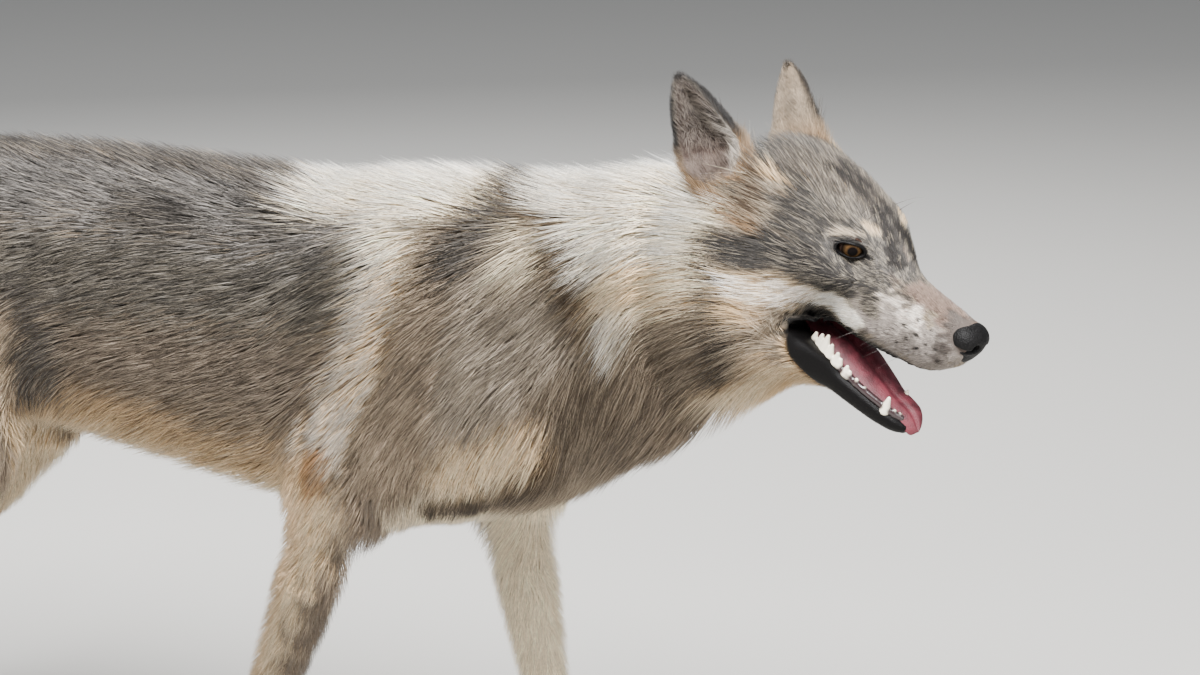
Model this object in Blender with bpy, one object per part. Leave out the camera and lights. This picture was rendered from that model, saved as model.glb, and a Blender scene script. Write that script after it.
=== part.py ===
"""Grey wolf in a slow walk, mouth open and panting, at life size.

Metres. +X is the way the wolf walks, +Y its left side, +Z up, and the floor is z = 0.
The body is worked out as one smooth volume: every bone and muscle group is a form with a
signed distance, the forms are melted together, and the surface where the distance is zero is
the outside of the coat. That surface is then parted with thin cuts into named pieces.
Forms are placed from a point on the floor under the withers; ORIGIN_SHIFT moves the finished
wolf so that its origin is the middle of its footprint.
"""
import math

import bmesh
import bpy
import numpy as np

ORIGIN_SHIFT = (0.1452, -0.0032, 0.0)
GAP = 0.0004
SLIVER = 0.00006
FAR = 1.0
SEED = 8

# Head: the midline point level with the eyes, and how the head is carried
HEAD_AT = (0.448, 0.0, 0.693)
HEAD_PITCH = math.radians(30)
HEAD_YAW = math.radians(-8)
EYE_AT = (-0.001, 0.0335, 0.0005)
EYE_RADIUS = 0.0125
JAW_FRONT_X = 0.118
EAR_RIGHT = ((-0.134, -0.052, -0.020), (-0.202, -0.080, 0.043))
EAR_LEFT = ((-0.109, 0.050, -0.009), (-0.1745, 0.072, 0.0445))

# Lower teeth of one side: along the head, out from its middle, base height, tall, half width
LOWER_TEETH = (
    (0.018, 0.0250, -0.1035, 0.0080, 0.0034),
    (0.024, 0.0247, -0.1040, 0.0110, 0.0036),
    (0.030, 0.0243, -0.1045, 0.0070, 0.0030),
    (0.041, 0.0232, -0.1060, 0.0085, 0.0034),
    (0.052, 0.0220, -0.1078, 0.0075, 0.0031),
    (0.063, 0.0206, -0.1094, 0.0065, 0.0028),
    (0.073, 0.0192, -0.1106, 0.0045, 0.0022),
    (0.0945, 0.0128, -0.1145, 0.0190, 0.0040),
    (0.1025, 0.0094, -0.1150, 0.0072, 0.0024),
    (0.1065, 0.0062, -0.1160, 0.0068, 0.0022),
    (0.1085, 0.0021, -0.1165, 0.0064, 0.0020),
)

# The coat, in places on the body (left side, mirrored to the right): place, coat depth, the way
# the hair lies, how much of it stands in long locks from 0 to 1, and the locks' length
BODY_COAT = (
    ((0.270, 0.000, 0.755), 0.034, (-1.0, 0.00, 0.10), 1, 0.105),
    ((0.170, 0.000, 0.745), 0.036, (-1.0, 0.00, -0.05), 1, 0.110),
    ((0.060, 0.000, 0.725), 0.034, (-1.0, 0.00, -0.05), 1, 0.110),
    ((-0.060, 0.000, 0.716), 0.030, (-1.0, 0.00, -0.02), 0.8, 0.110),
    ((-0.200, 0.000, 0.718), 0.026, (-1.0, 0.00, 0.00), 0, 0.095),
    ((-0.320, 0.000, 0.719), 0.026, (-1.0, 0.00, 0.00), 0, 0.095),
    ((-0.460, 0.000, 0.716), 0.026, (-1.0, 0.00, -0.10), 0, 0.090),
    ((-0.600, 0.000, 0.680), 0.028, (-1.0, 0.00, -0.50), 0.7, 0.090),
    ((0.260, 0.085, 0.690), 0.036, (-1.0, 0.10, -0.50), 1, 0.105),
    ((0.170, 0.095, 0.660), 0.038, (-0.9, 0.10, -0.75), 1, 0.110),
    ((0.240, 0.095, 0.590), 0.038, (-0.7, 0.05, -0.95), 1, 0.105),
    ((0.210, 0.060, 0.500), 0.038, (-0.6, 0.05, -0.90), 1, 0.100),
    ((0.250, 0.000, 0.480), 0.036, (-0.8, 0.00, -0.60), 1, 0.095),
    ((0.150, 0.000, 0.420), 0.032, (-0.9, 0.00, -0.35), 1, 0.085),
    ((0.040, 0.085, 0.655), 0.028, (-0.9, 0.05, -0.60), 0.7, 0.100),
    ((0.100, 0.110, 0.560), 0.022, (-0.7, 0.00, -0.90), 0.1, 0.070),
    ((0.040, 0.110, 0.480), 0.018, (-0.6, 0.00, -1.00), 0, 0.050),
    ((-0.060, 0.115, 0.600), 0.024, (-0.9, 0.00, -0.50), 0.1, 0.080),
    ((-0.200, 0.110, 0.620), 0.024, (-1.0, 0.00, -0.30), 0.1, 0.080),
    ((-0.200, 0.110, 0.500), 0.024, (-1.0, 0.00, -0.35), 0, 0.075),
    ((-0.350, 0.105, 0.560), 0.024, (-1.0, 0.00, -0.30), 0, 0.075),
    ((-0.020, 0.030, 0.380), 0.026, (-1.0, 0.00, -0.20), 0.5, 0.070),
    ((-0.150, 0.040, 0.385), 0.030, (-1.0, 0.00, -0.35), 1, 0.080),
    ((-0.290, 0.045, 0.400), 0.030, (-0.9, 0.00, -0.45), 1, 0.080),
    ((-0.390, 0.050, 0.425), 0.026, (-0.8, 0.00, -0.60), 0.8, 0.070),
    ((-0.500, 0.105, 0.620), 0.022, (-1.0, 0.00, -0.55), 0, 0.070),
    ((-0.470, 0.115, 0.500), 0.018, (-0.6, 0.00, -1.00), 0, 0.060),
    ((-0.620, 0.070, 0.600), 0.026, (-0.6, 0.05, -1.00), 0.8, 0.080),
    ((-0.600, 0.080, 0.500), 0.026, (-0.5, 0.05, -1.00), 1, 0.080),
    ((-0.560, 0.050, 0.440), 0.018, (-0.4, 0.00, -1.00), 0.5, 0.060),
    ((-0.500, 0.100, 0.360), 0.010, (-0.3, 0.00, -1.00), 0, 0.030),
    ((-0.590, 0.085, 0.270), 0.007, (-0.4, 0.00, -1.00), 0, 0.020),
    ((-0.690, 0.085, 0.270), 0.007, (-0.4, 0.00, -1.00), 0, 0.020),
    ((-0.640, 0.080, 0.120), 0.005, (0.1, 0.00, -1.00), 0, 0.014),
    ((-0.740, 0.080, 0.120), 0.005, (0.1, 0.00, -1.00), 0, 0.014),
    ((-0.600, 0.080, 0.020), 0.004, (1.0, 0.00, -0.40), 0, 0.010),
    ((-0.700, 0.080, 0.020), 0.004, (1.0, 0.00, -0.40), 0, 0.010),
    ((-0.050, 0.095, 0.420), 0.013, (-0.4, 0.00, -1.00), 0, 0.035),
    ((0.050, 0.095, 0.400), 0.013, (-0.2, 0.00, -1.00), 0, 0.035),
    ((-0.110, 0.090, 0.290), 0.008, (-0.4, 0.00, -1.00), 0, 0.020),
    ((0.060, 0.090, 0.280), 0.008, (0.1, 0.00, -1.00), 0, 0.020),
    ((-0.165, 0.085, 0.120), 0.005, (-0.1, 0.00, -1.00), 0, 0.014),
    ((0.095, 0.085, 0.120), 0.005, (0.1, 0.00, -1.00), 0, 0.014),
    ((-0.140, 0.080, 0.020), 0.004, (1.0, 0.00, -0.40), 0, 0.010),
    ((0.150, 0.080, 0.020), 0.004, (1.0, 0.00, -0.40), 0, 0.010),
    ((-0.690, 0.000, 0.600), 0.026, (-0.70, 0.00, -0.70), 1, 0.085),
    ((-0.750, 0.000, 0.520), 0.034, (-0.50, 0.00, -0.90), 1, 0.100),
    ((-0.790, 0.000, 0.400), 0.036, (-0.25, 0.00, -1.00), 1, 0.100),
    ((-0.808, 0.000, 0.290), 0.024, (-0.15, 0.00, -1.00), 0.7, 0.080),
)
# The same on the head, in the head's own directions
HEAD_COAT = (
    ((0.115, 0.015, -0.025), 0.0020, (-1.0, 0.10, -0.30), 0, 0.006),
    ((0.060, 0.020, -0.010), 0.0025, (-1.0, 0.10, 0.00), 0, 0.008),
    ((0.060, 0.030, -0.050), 0.0030, (-1.0, 0.20, -0.35), 0, 0.010),
    ((0.060, 0.020, -0.130), 0.0030, (-1.0, 0.10, -0.10), 0, 0.010),
    ((0.010, 0.045, -0.010), 0.0035, (-1.0, 0.40, 0.10), 0, 0.010),
    ((0.000, 0.045, -0.060), 0.0050, (-1.0, 0.20, -0.25), 0, 0.016),
    ((-0.020, 0.000, 0.030), 0.0050, (-1.0, 0.10, 0.10), 0, 0.014),
    ((-0.080, 0.020, 0.040), 0.0070, (-1.0, 0.00, 0.10), 0, 0.022),
    ((-0.060, 0.065, -0.010), 0.0080, (-1.0, 0.20, -0.15), 0, 0.024),
    ((-0.060, 0.065, -0.060), 0.0140, (-1.0, 0.10, -0.35), 0.1, 0.040),
    ((-0.100, 0.085, -0.060), 0.0240, (-1.0, 0.10, -0.55), 1, 0.070),
    ((-0.110, 0.075, -0.120), 0.0260, (-0.9, 0.05, -0.80), 1, 0.075),
    ((-0.060, 0.040, -0.140), 0.0200, (-0.9, 0.00, -0.60), 0.6, 0.055),
    ((-0.010, 0.020, -0.150), 0.0100, (-1.0, 0.00, -0.30), 0, 0.025),
    ((-0.080, 0.000, -0.210), 0.0300, (-0.9, 0.00, -0.50), 1, 0.080),
    ((-0.150, 0.040, 0.010), 0.0240, (-1.0, 0.10, 0.00), 0.5, 0.070),
)
COAT_REACH = 0.055
HEAD_COAT_REACH = 0.030

# Long locks: mean width and spacing, length over the coat's own, room left round an ear, root
# sunk below the core, and rings from root to tip as (share of the length, share of the rise,
# share of the width, thickness over width)
LOCK_WIDTH = 0.040
LOCK_SPACING = 0.0415
HEAD_LOCK_SPACING = 0.0340
LOCK_REACH = 1.15
EAR_CLEAR = 0.036
LOCK_ROOT = 0.007
LOCK_RINGS = (
    (0.00, -1, 0.75, 0.13),
    (0.45, 0.50, 1.00, 0.11),
    (1.00, 1.00, 0, 0),
)

# Where the body is parted
NECK_CUT_X = 0.264
RUMP_CUT_X = -0.36
TAIL_CUT_X = -0.668
THIGH_CUT_Z = 0.398
ELBOW_CUT_Z = 0.370
WRIST_CUT_Z = 0.146
COLLAR_CUT = ((0.046, 0.780), (0.198, 0.400))
CUT = 0.0005
COLLAR_NORMAL = (0.928, 0.0, 0.371)
EVERYWHERE = ((-2, -2, -2), (2, 2, 2))
CUT_PLANES = (
    (EVERYWHERE, (NECK_CUT_X, 0, 0), (1, 0, 0)),
    (EVERYWHERE, (COLLAR_CUT[0][0], 0, COLLAR_CUT[0][1]), COLLAR_NORMAL),
    (EVERYWHERE, (RUMP_CUT_X, 0, 0), (1, 0, 0)),
    (EVERYWHERE, (TAIL_CUT_X, 0, 0), (1, 0, 0)),
    (((-0.66, -2, 0), (-0.33, 2, 2)), (0, 0, THIGH_CUT_Z), (0, 0, 1)),
    (((-0.20, -2, 0), (0.20, 2, 2)), (0, 0, ELBOW_CUT_Z), (0, 0, 1)),
)

# Leg joints, right side walking back under the body, left side reaching forward
SHOULDER_R, SHOULDER_L = (0.125, -0.075, 0.515), (0.140, 0.075, 0.515)
ELBOW_R, ELBOW_L = (-0.050, -0.086, 0.425), (0.030, 0.086, 0.405)
WRIST_R, WRIST_L = (-0.160, -0.080, 0.160), (0.083, 0.080, 0.160)
KNUCKLE_R, KNUCKLE_L = (-0.183, -0.080, 0.046), (0.100, 0.080, 0.044)
HIP_R, HIP_L = (-0.500, -0.066, 0.590), (-0.510, 0.066, 0.590)
KNEE_R, KNEE_L = (-0.482, -0.088, 0.420), (-0.540, 0.088, 0.410)
HOCK_R, HOCK_L = (-0.630, -0.080, 0.200), (-0.705, 0.080, 0.222)
KNUCKLE_HR, KNUCKLE_HL = (-0.628, -0.080, 0.042), (-0.742, 0.080, 0.046)
# Feet: toe length from the knuckle, half width, pastern radius
FOREFOOT = (0.072, 0.043, 0.0255)
HINDFOOT = (0.066, 0.038, 0.0235)
# A claw's rings: forward of the toe, height and half width
CLAW_RINGS = ((0.008, 0.003, 0.0042), (0.018, 0.000, 0.0034), (0.024, -0.006, 0.0020))
# The tail's middle line, back and up, and its radii
TAIL_POINTS = (
    (-0.590, 0.655),
    (-0.660, 0.628),
    (-0.728, 0.560),
    (-0.775, 0.460),
    (-0.800, 0.360),
    (-0.812, 0.262),
)
TAIL_RADII = (0.036, 0.040, 0.049, 0.056, 0.050, 0.012)


class Frame:
    """A place and three directions: forward, left and up."""

    def __init__(self, at=(0, 0, 0), pitch=0.0, yaw=0.0, roll=0.0):
        cp, sp, cy, sy = math.cos(pitch), math.sin(pitch), math.cos(yaw), math.sin(yaw)
        self.at = np.array(at, float)
        forward = np.array([cp * cy, cp * sy, -sp])
        left = np.array([-sy, cy, 0.0])
        up = np.cross(forward, left)
        self.rows = np.array([
            forward,
            left * math.cos(roll) + up * math.sin(roll),
            up * math.cos(roll) - left * math.sin(roll),
        ])

    def local(self, x, y, z):
        dx, dy, dz = x - self.at[0], y - self.at[1], z - self.at[2]
        return [r[0] * dx + r[1] * dy + r[2] * dz for r in self.rows]

    def world(self, point):
        return self.at + np.array(point, float) @ self.rows


WORLD = Frame()
HEAD = Frame(HEAD_AT, HEAD_PITCH, HEAD_YAW)
TONGUE_END = Frame(
    HEAD.world((0.104, 0.006, -0.1075)), HEAD_PITCH + math.radians(24), HEAD_YAW - 0.10
)


def box_of(points, reach):
    """Low and high corners round some points, each with its own reach."""
    points, reach = np.array(points, float), np.reshape(np.array(reach, float), (-1, 1))
    return (points - reach).min(0), (points + reach).max(0)


def coat_at(points):
    """Coat depth, lie of the hair, share in long locks and lock length at some points."""
    rows, places, reach = [], [], []
    for frame, table, width in ((WORLD, BODY_COAT, COAT_REACH), (HEAD, HEAD_COAT, HEAD_COAT_REACH)):
        for place, depth, lie, share, length in table:
            for side in (1, -1):
                flip = np.array((1, side, 1))
                places.append(frame.world(np.array(place) * flip))
                lie_ = np.array(lie) * flip
                lie_ = (lie_ / np.linalg.norm(lie_)) @ frame.rows
                rows.append([depth, *lie_, share, length])
                reach.append(width)
    places, rows, reach = np.array(places), np.array(rows), np.array(reach)
    near = ((points[:, None, :] - places[None]) ** 2).sum(2) / reach**2
    near = np.exp(np.minimum(near.min(1, keepdims=True) - near, 0))
    mixed = near @ rows / near.sum(1, keepdims=True)
    lie = mixed[:, 1:4] / np.maximum(np.linalg.norm(mixed[:, 1:4], axis=1), 1e-6)[:, None]
    return mixed[:, 0], lie, mixed[:, 4], mixed[:, 5]


class Limb:
    """A tapered rod with round ends; flat narrows it sideways."""

    def __init__(self, start, end, r0, r1, flat=1.0, frame=WORLD):
        self.frame, self.flat = frame, flat
        self.start, self.end = np.array(start, float), np.array(end, float)
        self.r0, self.r1 = r0, r1
        self.box = box_of([frame.world(start), frame.world(end)], [r0, r1])

    def distance(self, x, y, z):
        u, v, w = self.frame.local(x, y, z)
        a, d = self.start, self.end - self.start
        h = np.clip(((u - a[0]) * d[0] + (v - a[1]) * d[1] + (w - a[2]) * d[2]) / (d @ d), 0, 1)
        side = (v - a[1] - h * d[1]) / self.flat
        r = self.r0 + (self.r1 - self.r0) * h
        away = np.sqrt((u - a[0] - h * d[0]) ** 2 + side**2 + (w - a[2] - h * d[2]) ** 2)
        return (away - r) * min(1.0, self.flat)


class Chain:
    """Tapered rods end to end along a smooth curve through some points."""

    def __init__(self, points, radii, flat=1.0, pieces=24):
        points, at = np.array(points, float), np.linspace(0, len(points) - 1, pieces + 1)
        table = np.column_stack([points, radii])
        slope = np.gradient(table, axis=0)
        index = np.minimum(at.astype(int), len(points) - 2)
        t = (at - index)[:, None]
        curve = (
            (2 * t**3 - 3 * t**2 + 1) * table[index]
            + (t**3 - 2 * t**2 + t) * slope[index]
            + (3 * t**2 - 2 * t**3) * table[index + 1]
            + (t**3 - t**2) * slope[index + 1]
        )
        self.rods = [Limb(a[:3], b[:3], a[3], b[3], flat) for a, b in zip(curve, curve[1:])]
        self.box = box_of(curve[:, :3], curve[:, 3])

    def distance(self, x, y, z):
        away = self.rods[0].distance(x, y, z)
        for rod in self.rods[1:]:
            away = np.minimum(away, rod.distance(x, y, z))
        return away


class Ball:
    """An ellipsoid with its radii along a frame's directions, turned in pitch by tilt."""

    def __init__(self, centre, radii, frame=WORLD, tilt=0.0):
        self.centre, self.radii, self.frame = np.array(centre, float), radii, frame
        self.cos, self.sin = math.cos(tilt), math.sin(tilt)
        self.box = box_of([frame.world(centre)], [max(radii)])

    def distance(self, x, y, z):
        u, v, w = self.frame.local(x, y, z)
        u, v, w = u - self.centre[0], v - self.centre[1], w - self.centre[2]
        u, w = u * self.cos - w * self.sin, u * self.sin + w * self.cos
        a, b, c = self.radii
        k0 = np.sqrt((u / a) ** 2 + (v / b) ** 2 + (w / c) ** 2)
        k1 = np.sqrt((u / a**2) ** 2 + (v / b**2) ** 2 + (w / c**2) ** 2)
        return k0 * (k0 - 1) / np.maximum(k1, 1e-6)


class Loft:
    """Oval sections along a frame's forward axis: (along, top, bottom, half width) each."""

    def __init__(self, sections, frame=WORLD, power=2.2, skew=0.0):
        self.frame, self.power, self.skew = frame, power, skew
        table = np.array(sections, float)
        self.along = np.linspace(table[0, 0], table[-1, 0], 160)
        slope = np.gradient(table[:, 1:], table[:, 0], axis=0)
        index = np.clip(np.searchsorted(table[:, 0], self.along, "right") - 1, 0, len(table) - 2)
        step = table[index + 1, 0] - table[index, 0]
        t = ((self.along - table[index, 0]) / step)[:, None]
        step = step[:, None]
        low, high = table[index, 1:], table[index + 1, 1:]
        self.shape = (
            (2 * t**3 - 3 * t**2 + 1) * low
            + (t**3 - 2 * t**2 + t) * step * slope[index]
            + (3 * t**2 - 2 * t**3) * high
            + (t**3 - t**2) * step * slope[index + 1]
        ).T
        corners = [
            frame.world((s[0], side * s[3], s[k])) for s in sections for side in (-1, 1) for k in (1, 2)
        ]
        self.box = box_of(corners, [0.0] * len(corners))

    def distance(self, x, y, z):
        u, v, w = self.frame.local(x, y, z)
        top, bottom, width = (np.interp(u, self.along, s) for s in self.shape)
        high = np.maximum((top - bottom) / 2, 1e-4)
        rise = (w - (top + bottom) / 2) / high
        width = np.maximum(width, 1e-4) * (1 + self.skew * np.clip(rise, -1, 1))
        p, q = np.abs(v / width) + 1e-9, np.abs(rise) + 1e-9
        n = self.power
        k = (p**n + q**n) ** (1 / n)
        steep = k ** (1 - n) * np.sqrt((p ** (n - 1) / width) ** 2 + (q ** (n - 1) / high) ** 2)
        round_ = (k - 1) / np.maximum(steep, 1e-3)
        end = np.maximum(self.along[0] - u, u - self.along[-1])
        return np.minimum(np.maximum(round_, end), 0) + np.hypot(
            np.maximum(round_, 0), np.maximum(end, 0)
        )


class Volume:
    """Distances on a grid whose three axes may have uneven spacing."""

    def __init__(self, xs, ys, zs):
        self.axes = [np.asarray(a, float) for a in (xs, ys, zs)]
        self.d = np.full([len(a) for a in self.axes], FAR)

    def block(self, form, margin):
        low, high = form.box
        cut = tuple(
            slice(max(np.searchsorted(a, lo - margin) - 1, 0), np.searchsorted(a, hi + margin) + 1)
            for a, lo, hi in zip(self.axes, low, high)
        )
        a, b, c = (axis[s] for axis, s in zip(self.axes, cut))
        return cut, a[:, None, None], b[None, :, None], c[None, None, :]

    def add(self, form, melt):
        """Joins a form on, with a soft crease about as wide as melt."""
        cut, x, y, z = self.block(form, melt + 0.05)
        if 0 in self.d[cut].shape:
            return
        new, old = form.distance(x, y, z), self.d[cut]
        h = np.maximum(melt - np.abs(new - old), 0) / melt
        self.d[cut] = np.minimum(new, old) - h * h * melt / 4

    def carve(self, form, melt):
        """Takes a form away, with a soft edge."""
        cut, x, y, z = self.block(form, melt + 0.01)
        if 0 in self.d[cut].shape:
            return
        new, old = -form.distance(x, y, z), self.d[cut]
        h = np.maximum(melt - np.abs(new - old), 0) / melt
        self.d[cut] = np.maximum(new, old) + h * h * melt / 4

    def floor(self):
        """Cuts everything flat at the floor."""
        self.d = np.maximum(self.d, -self.axes[2][None, None, :])

    def at(self, points):
        """The distance at some points, between the grid's values."""
        cell, part = [], []
        for n, axis in enumerate(self.axes):
            low = np.clip(np.searchsorted(axis, points[:, n], "right") - 1, 0, len(axis) - 2)
            cell.append(low)
            part.append(np.clip((points[:, n] - axis[low]) / (axis[low + 1] - axis[low]), 0, 1))
        total = 0
        for a in (0, 1):
            for b in (0, 1):
                for c in (0, 1):
                    share = 1
                    for far, t in zip((a, b, c), part):
                        share = share * (t if far else 1 - t)
                    total = total + share * self.d[cell[0] + a, cell[1] + b, cell[2] + c]
        return total

    def away(self, points):
        """The outward direction at some points."""
        step = 0.004
        slope = np.stack(
            [self.at(points + step * axis) - self.at(points - step * axis) for axis in np.eye(3)], 1
        )
        return slope / np.maximum(np.linalg.norm(slope, axis=1), 1e-9)[:, None]

    def settle(self, points, height):
        """Moves points along the outward direction until they are at a distance."""
        for _ in range(3):
            gap = self.at(points) - height
            points = points - np.clip(gap, -0.01, 0.01)[:, None] * self.away(points)
        return points

    def lower(self):
        """Brings the surface in to the core that the long coat's locks grow from."""
        near = np.argwhere(np.abs(self.d) < 0.035)
        points = np.stack([axis[near[:, n]] for n, axis in enumerate(self.axes)], 1)
        depth, _, share, _ = coat_at(points)
        self.d[tuple(near.T)] += 0.5 * depth * share

    def untangle(self):
        """Joins places that meet only across a diagonal, so that every edge of the surface has
        just two faces."""
        for _ in range(4):
            changed = 0
            for axis in range(3):
                u, v = (n for n in range(3) if n != axis)
                corner = {}
                for a in (0, 1):
                    for b in (0, 1):
                        cut = [slice(None)] * 3
                        cut[u] = slice(a, a - 1 or None)
                        cut[v] = slice(b, b - 1 or None)
                        corner[a, b] = self.d[tuple(cut)]
                for one, two in (((0, 0), (1, 1)), ((0, 1), (1, 0))):
                    other = [corner[c] for c in corner if c not in (one, two)]
                    bad = (corner[one] < 0) & (corner[two] < 0) & (other[0] >= 0) & (other[1] >= 0)
                    changed += bad.sum()
                    other[0][bad] = -1e-5
            if not changed:
                return

    def surface(self, level=0.0):
        """Points and four-sided faces of the surface at a distance: one point in each grid
        cell that the surface crosses, and one face for each grid edge that it crosses."""
        d, axes = self.d, self.axes
        inside = d < level
        cells = np.array(d.shape) - 1
        count = np.zeros(cells, np.int8)
        corners = [(a, b, c) for a in (0, 1) for b in (0, 1) for c in (0, 1)]
        for a, b, c in corners:
            count += inside[a : a + cells[0], b : b + cells[1], c : c + cells[2]]
        at = np.argwhere((count > 0) & (count < 8))
        total, crossings = np.zeros((len(at), 3)), np.zeros(len(at))
        for first in corners:
            for axis in range(3):
                if first[axis]:
                    continue
                low, high = at + first, at + first
                high = high + np.eye(3, dtype=int)[axis]
                dl, dh = d[tuple(low.T)], d[tuple(high.T)]
                cross = (dl < level) != (dh < level)
                t = np.where(cross, (level - dl) / np.where(cross, dh - dl, 1), 0)
                for n in range(3):
                    pl, ph = axes[n][low[:, n]], axes[n][high[:, n]]
                    total[:, n] += np.where(cross, pl + t * (ph - pl), 0)
                crossings += cross
        points = total / crossings[:, None]
        index = np.full(cells, -1)
        index[tuple(at.T)] = np.arange(len(at))
        faces = []
        for axis in range(3):
            u, v = (axis + 1) % 3, (axis + 2) % 3
            step = np.eye(3, dtype=int)
            lower = [slice(None)] * 3
            upper = [slice(None)] * 3
            lower[axis], upper[axis] = slice(0, -1), slice(1, None)
            one, two = inside[tuple(lower)], inside[tuple(upper)]
            edge = np.argwhere(one != two)
            ok = np.all([(edge[:, n] > 0) & (edge[:, n] < d.shape[n] - 1) for n in (u, v)], axis=0)
            edge = edge[ok]
            outward = one[tuple(edge.T)]
            ring = [edge - step[u] - step[v], edge - step[v], edge, edge - step[u]]
            quad = np.stack([index[tuple(c.T)] for c in ring], 1)
            quad[~outward] = quad[~outward][:, ::-1]
            faces.append(quad)
        return points, np.concatenate(faces)


def trunk_forms():
    """Rib cage, belly, rump and neck, each with the width of the crease where it joins."""
    trunk = Loft(
        (
            (-0.650, 0.630, 0.520, 0.030),
            (-0.615, 0.672, 0.470, 0.070),
            (-0.540, 0.706, 0.436, 0.096),
            (-0.430, 0.718, 0.420, 0.102),
            (-0.300, 0.719, 0.400, 0.104),
            (-0.170, 0.716, 0.382, 0.110),
            (-0.050, 0.715, 0.377, 0.114),
            (0.040, 0.714, 0.381, 0.112),
            (0.120, 0.704, 0.405, 0.100),
            (0.175, 0.675, 0.442, 0.076),
            (0.205, 0.620, 0.505, 0.040),
        ),
        power=2.3,
        skew=0.10,
    )
    neck = Loft(
        (
            (0.000, 0.132, -0.150, 0.092),
            (0.100, 0.121, -0.165, 0.098),
            (0.200, 0.116, -0.176, 0.101),
            (0.280, 0.112, -0.156, 0.101),
            (0.340, 0.106, -0.126, 0.099),
            (0.390, 0.086, -0.094, 0.084),
        ),
        frame=Frame((-0.020, 0.0, 0.575), -math.radians(13.4), math.radians(2.1)),
        power=2.2,
    )
    throat = Limb((0.392, 0.004, 0.598), (0.290, 0.006, 0.625), 0.042, 0.092)
    return [(trunk, 0.03), (neck, 0.06), (throat, 0.04)]


def foreleg_forms(side, shoulder, elbow, wrist):
    """Shoulder blade, upper arm and forearm of one side."""
    withers = (0.020, side * 0.052, 0.636)
    olecranon = (elbow[0] - 0.020, elbow[1], elbow[2] + 0.008)
    return [
        (Limb(withers, shoulder, 0.052, 0.060, 0.75), 0.05),
        (Limb(shoulder, elbow, 0.060, 0.050, 0.72), 0.05),
        (Limb(elbow, wrist, 0.050, 0.0255, 0.74), 0.035),
        (Ball(olecranon, (0.030, 0.026, 0.034)), 0.03),
    ]


def hindleg_forms(side, hip, knee, hock):
    """Thigh and shin of one side."""
    rear = (hip[0] - 0.055, hip[1], hip[2] - 0.03)
    calf = tuple(k + 0.38 * (h - k) for k, h in zip(knee, hock))
    heel = (hock[0] - 0.012, hock[1], hock[2] + 0.022)
    return [
        (Limb(hip, knee, 0.088, 0.056, 0.62), 0.05),
        (Limb(rear, calf, 0.062, 0.040, 0.66), 0.05),
        (Limb(knee, hock, 0.050, 0.025, 0.74), 0.04),
        (Limb(calf, heel, 0.034, 0.017, 0.72), 0.03),
    ]


def toe_places(knuckle, length, half_width):
    """Root and tip of each toe; the middle two reach farther."""
    x, y, _ = knuckle
    places = []
    for toe in range(4):
        spread = (toe - 1.5) / 1.5
        reach = length * (1.0 if toe in (1, 2) else 0.80)
        root = (x + 0.012, y + spread * half_width * 0.50, 0.036)
        tip = (x + reach, y + spread * half_width * 0.70, 0.0165)
        places.append((root, tip))
    return places


def foot_forms(upper, knuckle, length, half_width, pastern):
    """Pastern, palm, four toes and the heel pad of one foot."""
    x, y, z = knuckle
    forms = [
        (Limb(upper, knuckle, pastern, pastern * 1.02, 0.88), 0.02),
        (Ball((x + 0.016, y, 0.031), (0.040, half_width * 0.84, 0.029)), 0.02),
        (Ball((x + 0.004, y, 0.012), (0.026, half_width * 0.62, 0.016)), 0.008),
    ]
    for root, tip in toe_places(knuckle, length, half_width):
        forms.append((Limb(root, tip, 0.0165, 0.0160, 0.90), 0.006))
    return forms


def leg_forms():
    forms = []
    for side, shoulder, elbow, wrist, knuckle in (
        (-1, SHOULDER_R, ELBOW_R, WRIST_R, KNUCKLE_R),
        (1, SHOULDER_L, ELBOW_L, WRIST_L, KNUCKLE_L),
    ):
        forms += foreleg_forms(side, shoulder, elbow, wrist)
        forms += foot_forms(wrist, knuckle, *FOREFOOT)
    for side, hip, knee, hock, joint in (
        (-1, HIP_R, KNEE_R, HOCK_R, KNUCKLE_HR),
        (1, HIP_L, KNEE_L, HOCK_L, KNUCKLE_HL),
    ):
        forms += hindleg_forms(side, hip, knee, hock)
        forms += foot_forms(hock, joint, *HINDFOOT)
    return forms


def tail_forms():
    """The hanging brush."""
    return [(Chain([(x, 0.0, z) for x, z in TAIL_POINTS], TAIL_RADII, 0.92), 0.03)]


def head_forms():
    """Skull, brow, cheeks and the upper half of the muzzle."""
    muzzle = Loft(
        (
            (-0.030, 0.020, -0.080, 0.052),
            (0.000, 0.013, -0.079, 0.045),
            (0.030, 0.004, -0.075, 0.0380),
            (0.060, 0.000, -0.069, 0.0320),
            (0.090, 0.000, -0.0655, 0.0275),
            (0.110, 0.000, -0.0590, 0.0250),
            (0.124, -0.002, -0.0490, 0.0205),
            (0.132, -0.008, -0.0400, 0.0140),
        ),
        frame=HEAD,
        power=2.3,
        skew=-0.12,
    )
    forms = [
        (Ball((-0.075, 0, -0.012), (0.082, 0.068, 0.053), HEAD), 0.02),
        (Ball((-0.020, 0, 0.000), (0.060, 0.048, 0.033), HEAD, math.radians(8)), 0.02),
        (muzzle, 0.022),
    ]
    for side in (-1, 1):
        forms += [
            (Ball((-0.011, side * 0.029, 0.012), (0.020, 0.014, 0.010), HEAD), 0.012),
            (Ball((-0.030, side * 0.044, -0.026), (0.046, 0.023, 0.024), HEAD), 0.02),
            (Ball((-0.058, side * 0.044, -0.066), (0.046, 0.030, 0.052), HEAD), 0.03),
            (Ball((-0.100, side * 0.056, -0.070), (0.044, 0.038, 0.062), HEAD), 0.035),
            (Ball((-0.118, side * 0.050, 0.000), (0.034, 0.026, 0.026), HEAD), 0.025),
        ]
    return forms


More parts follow.
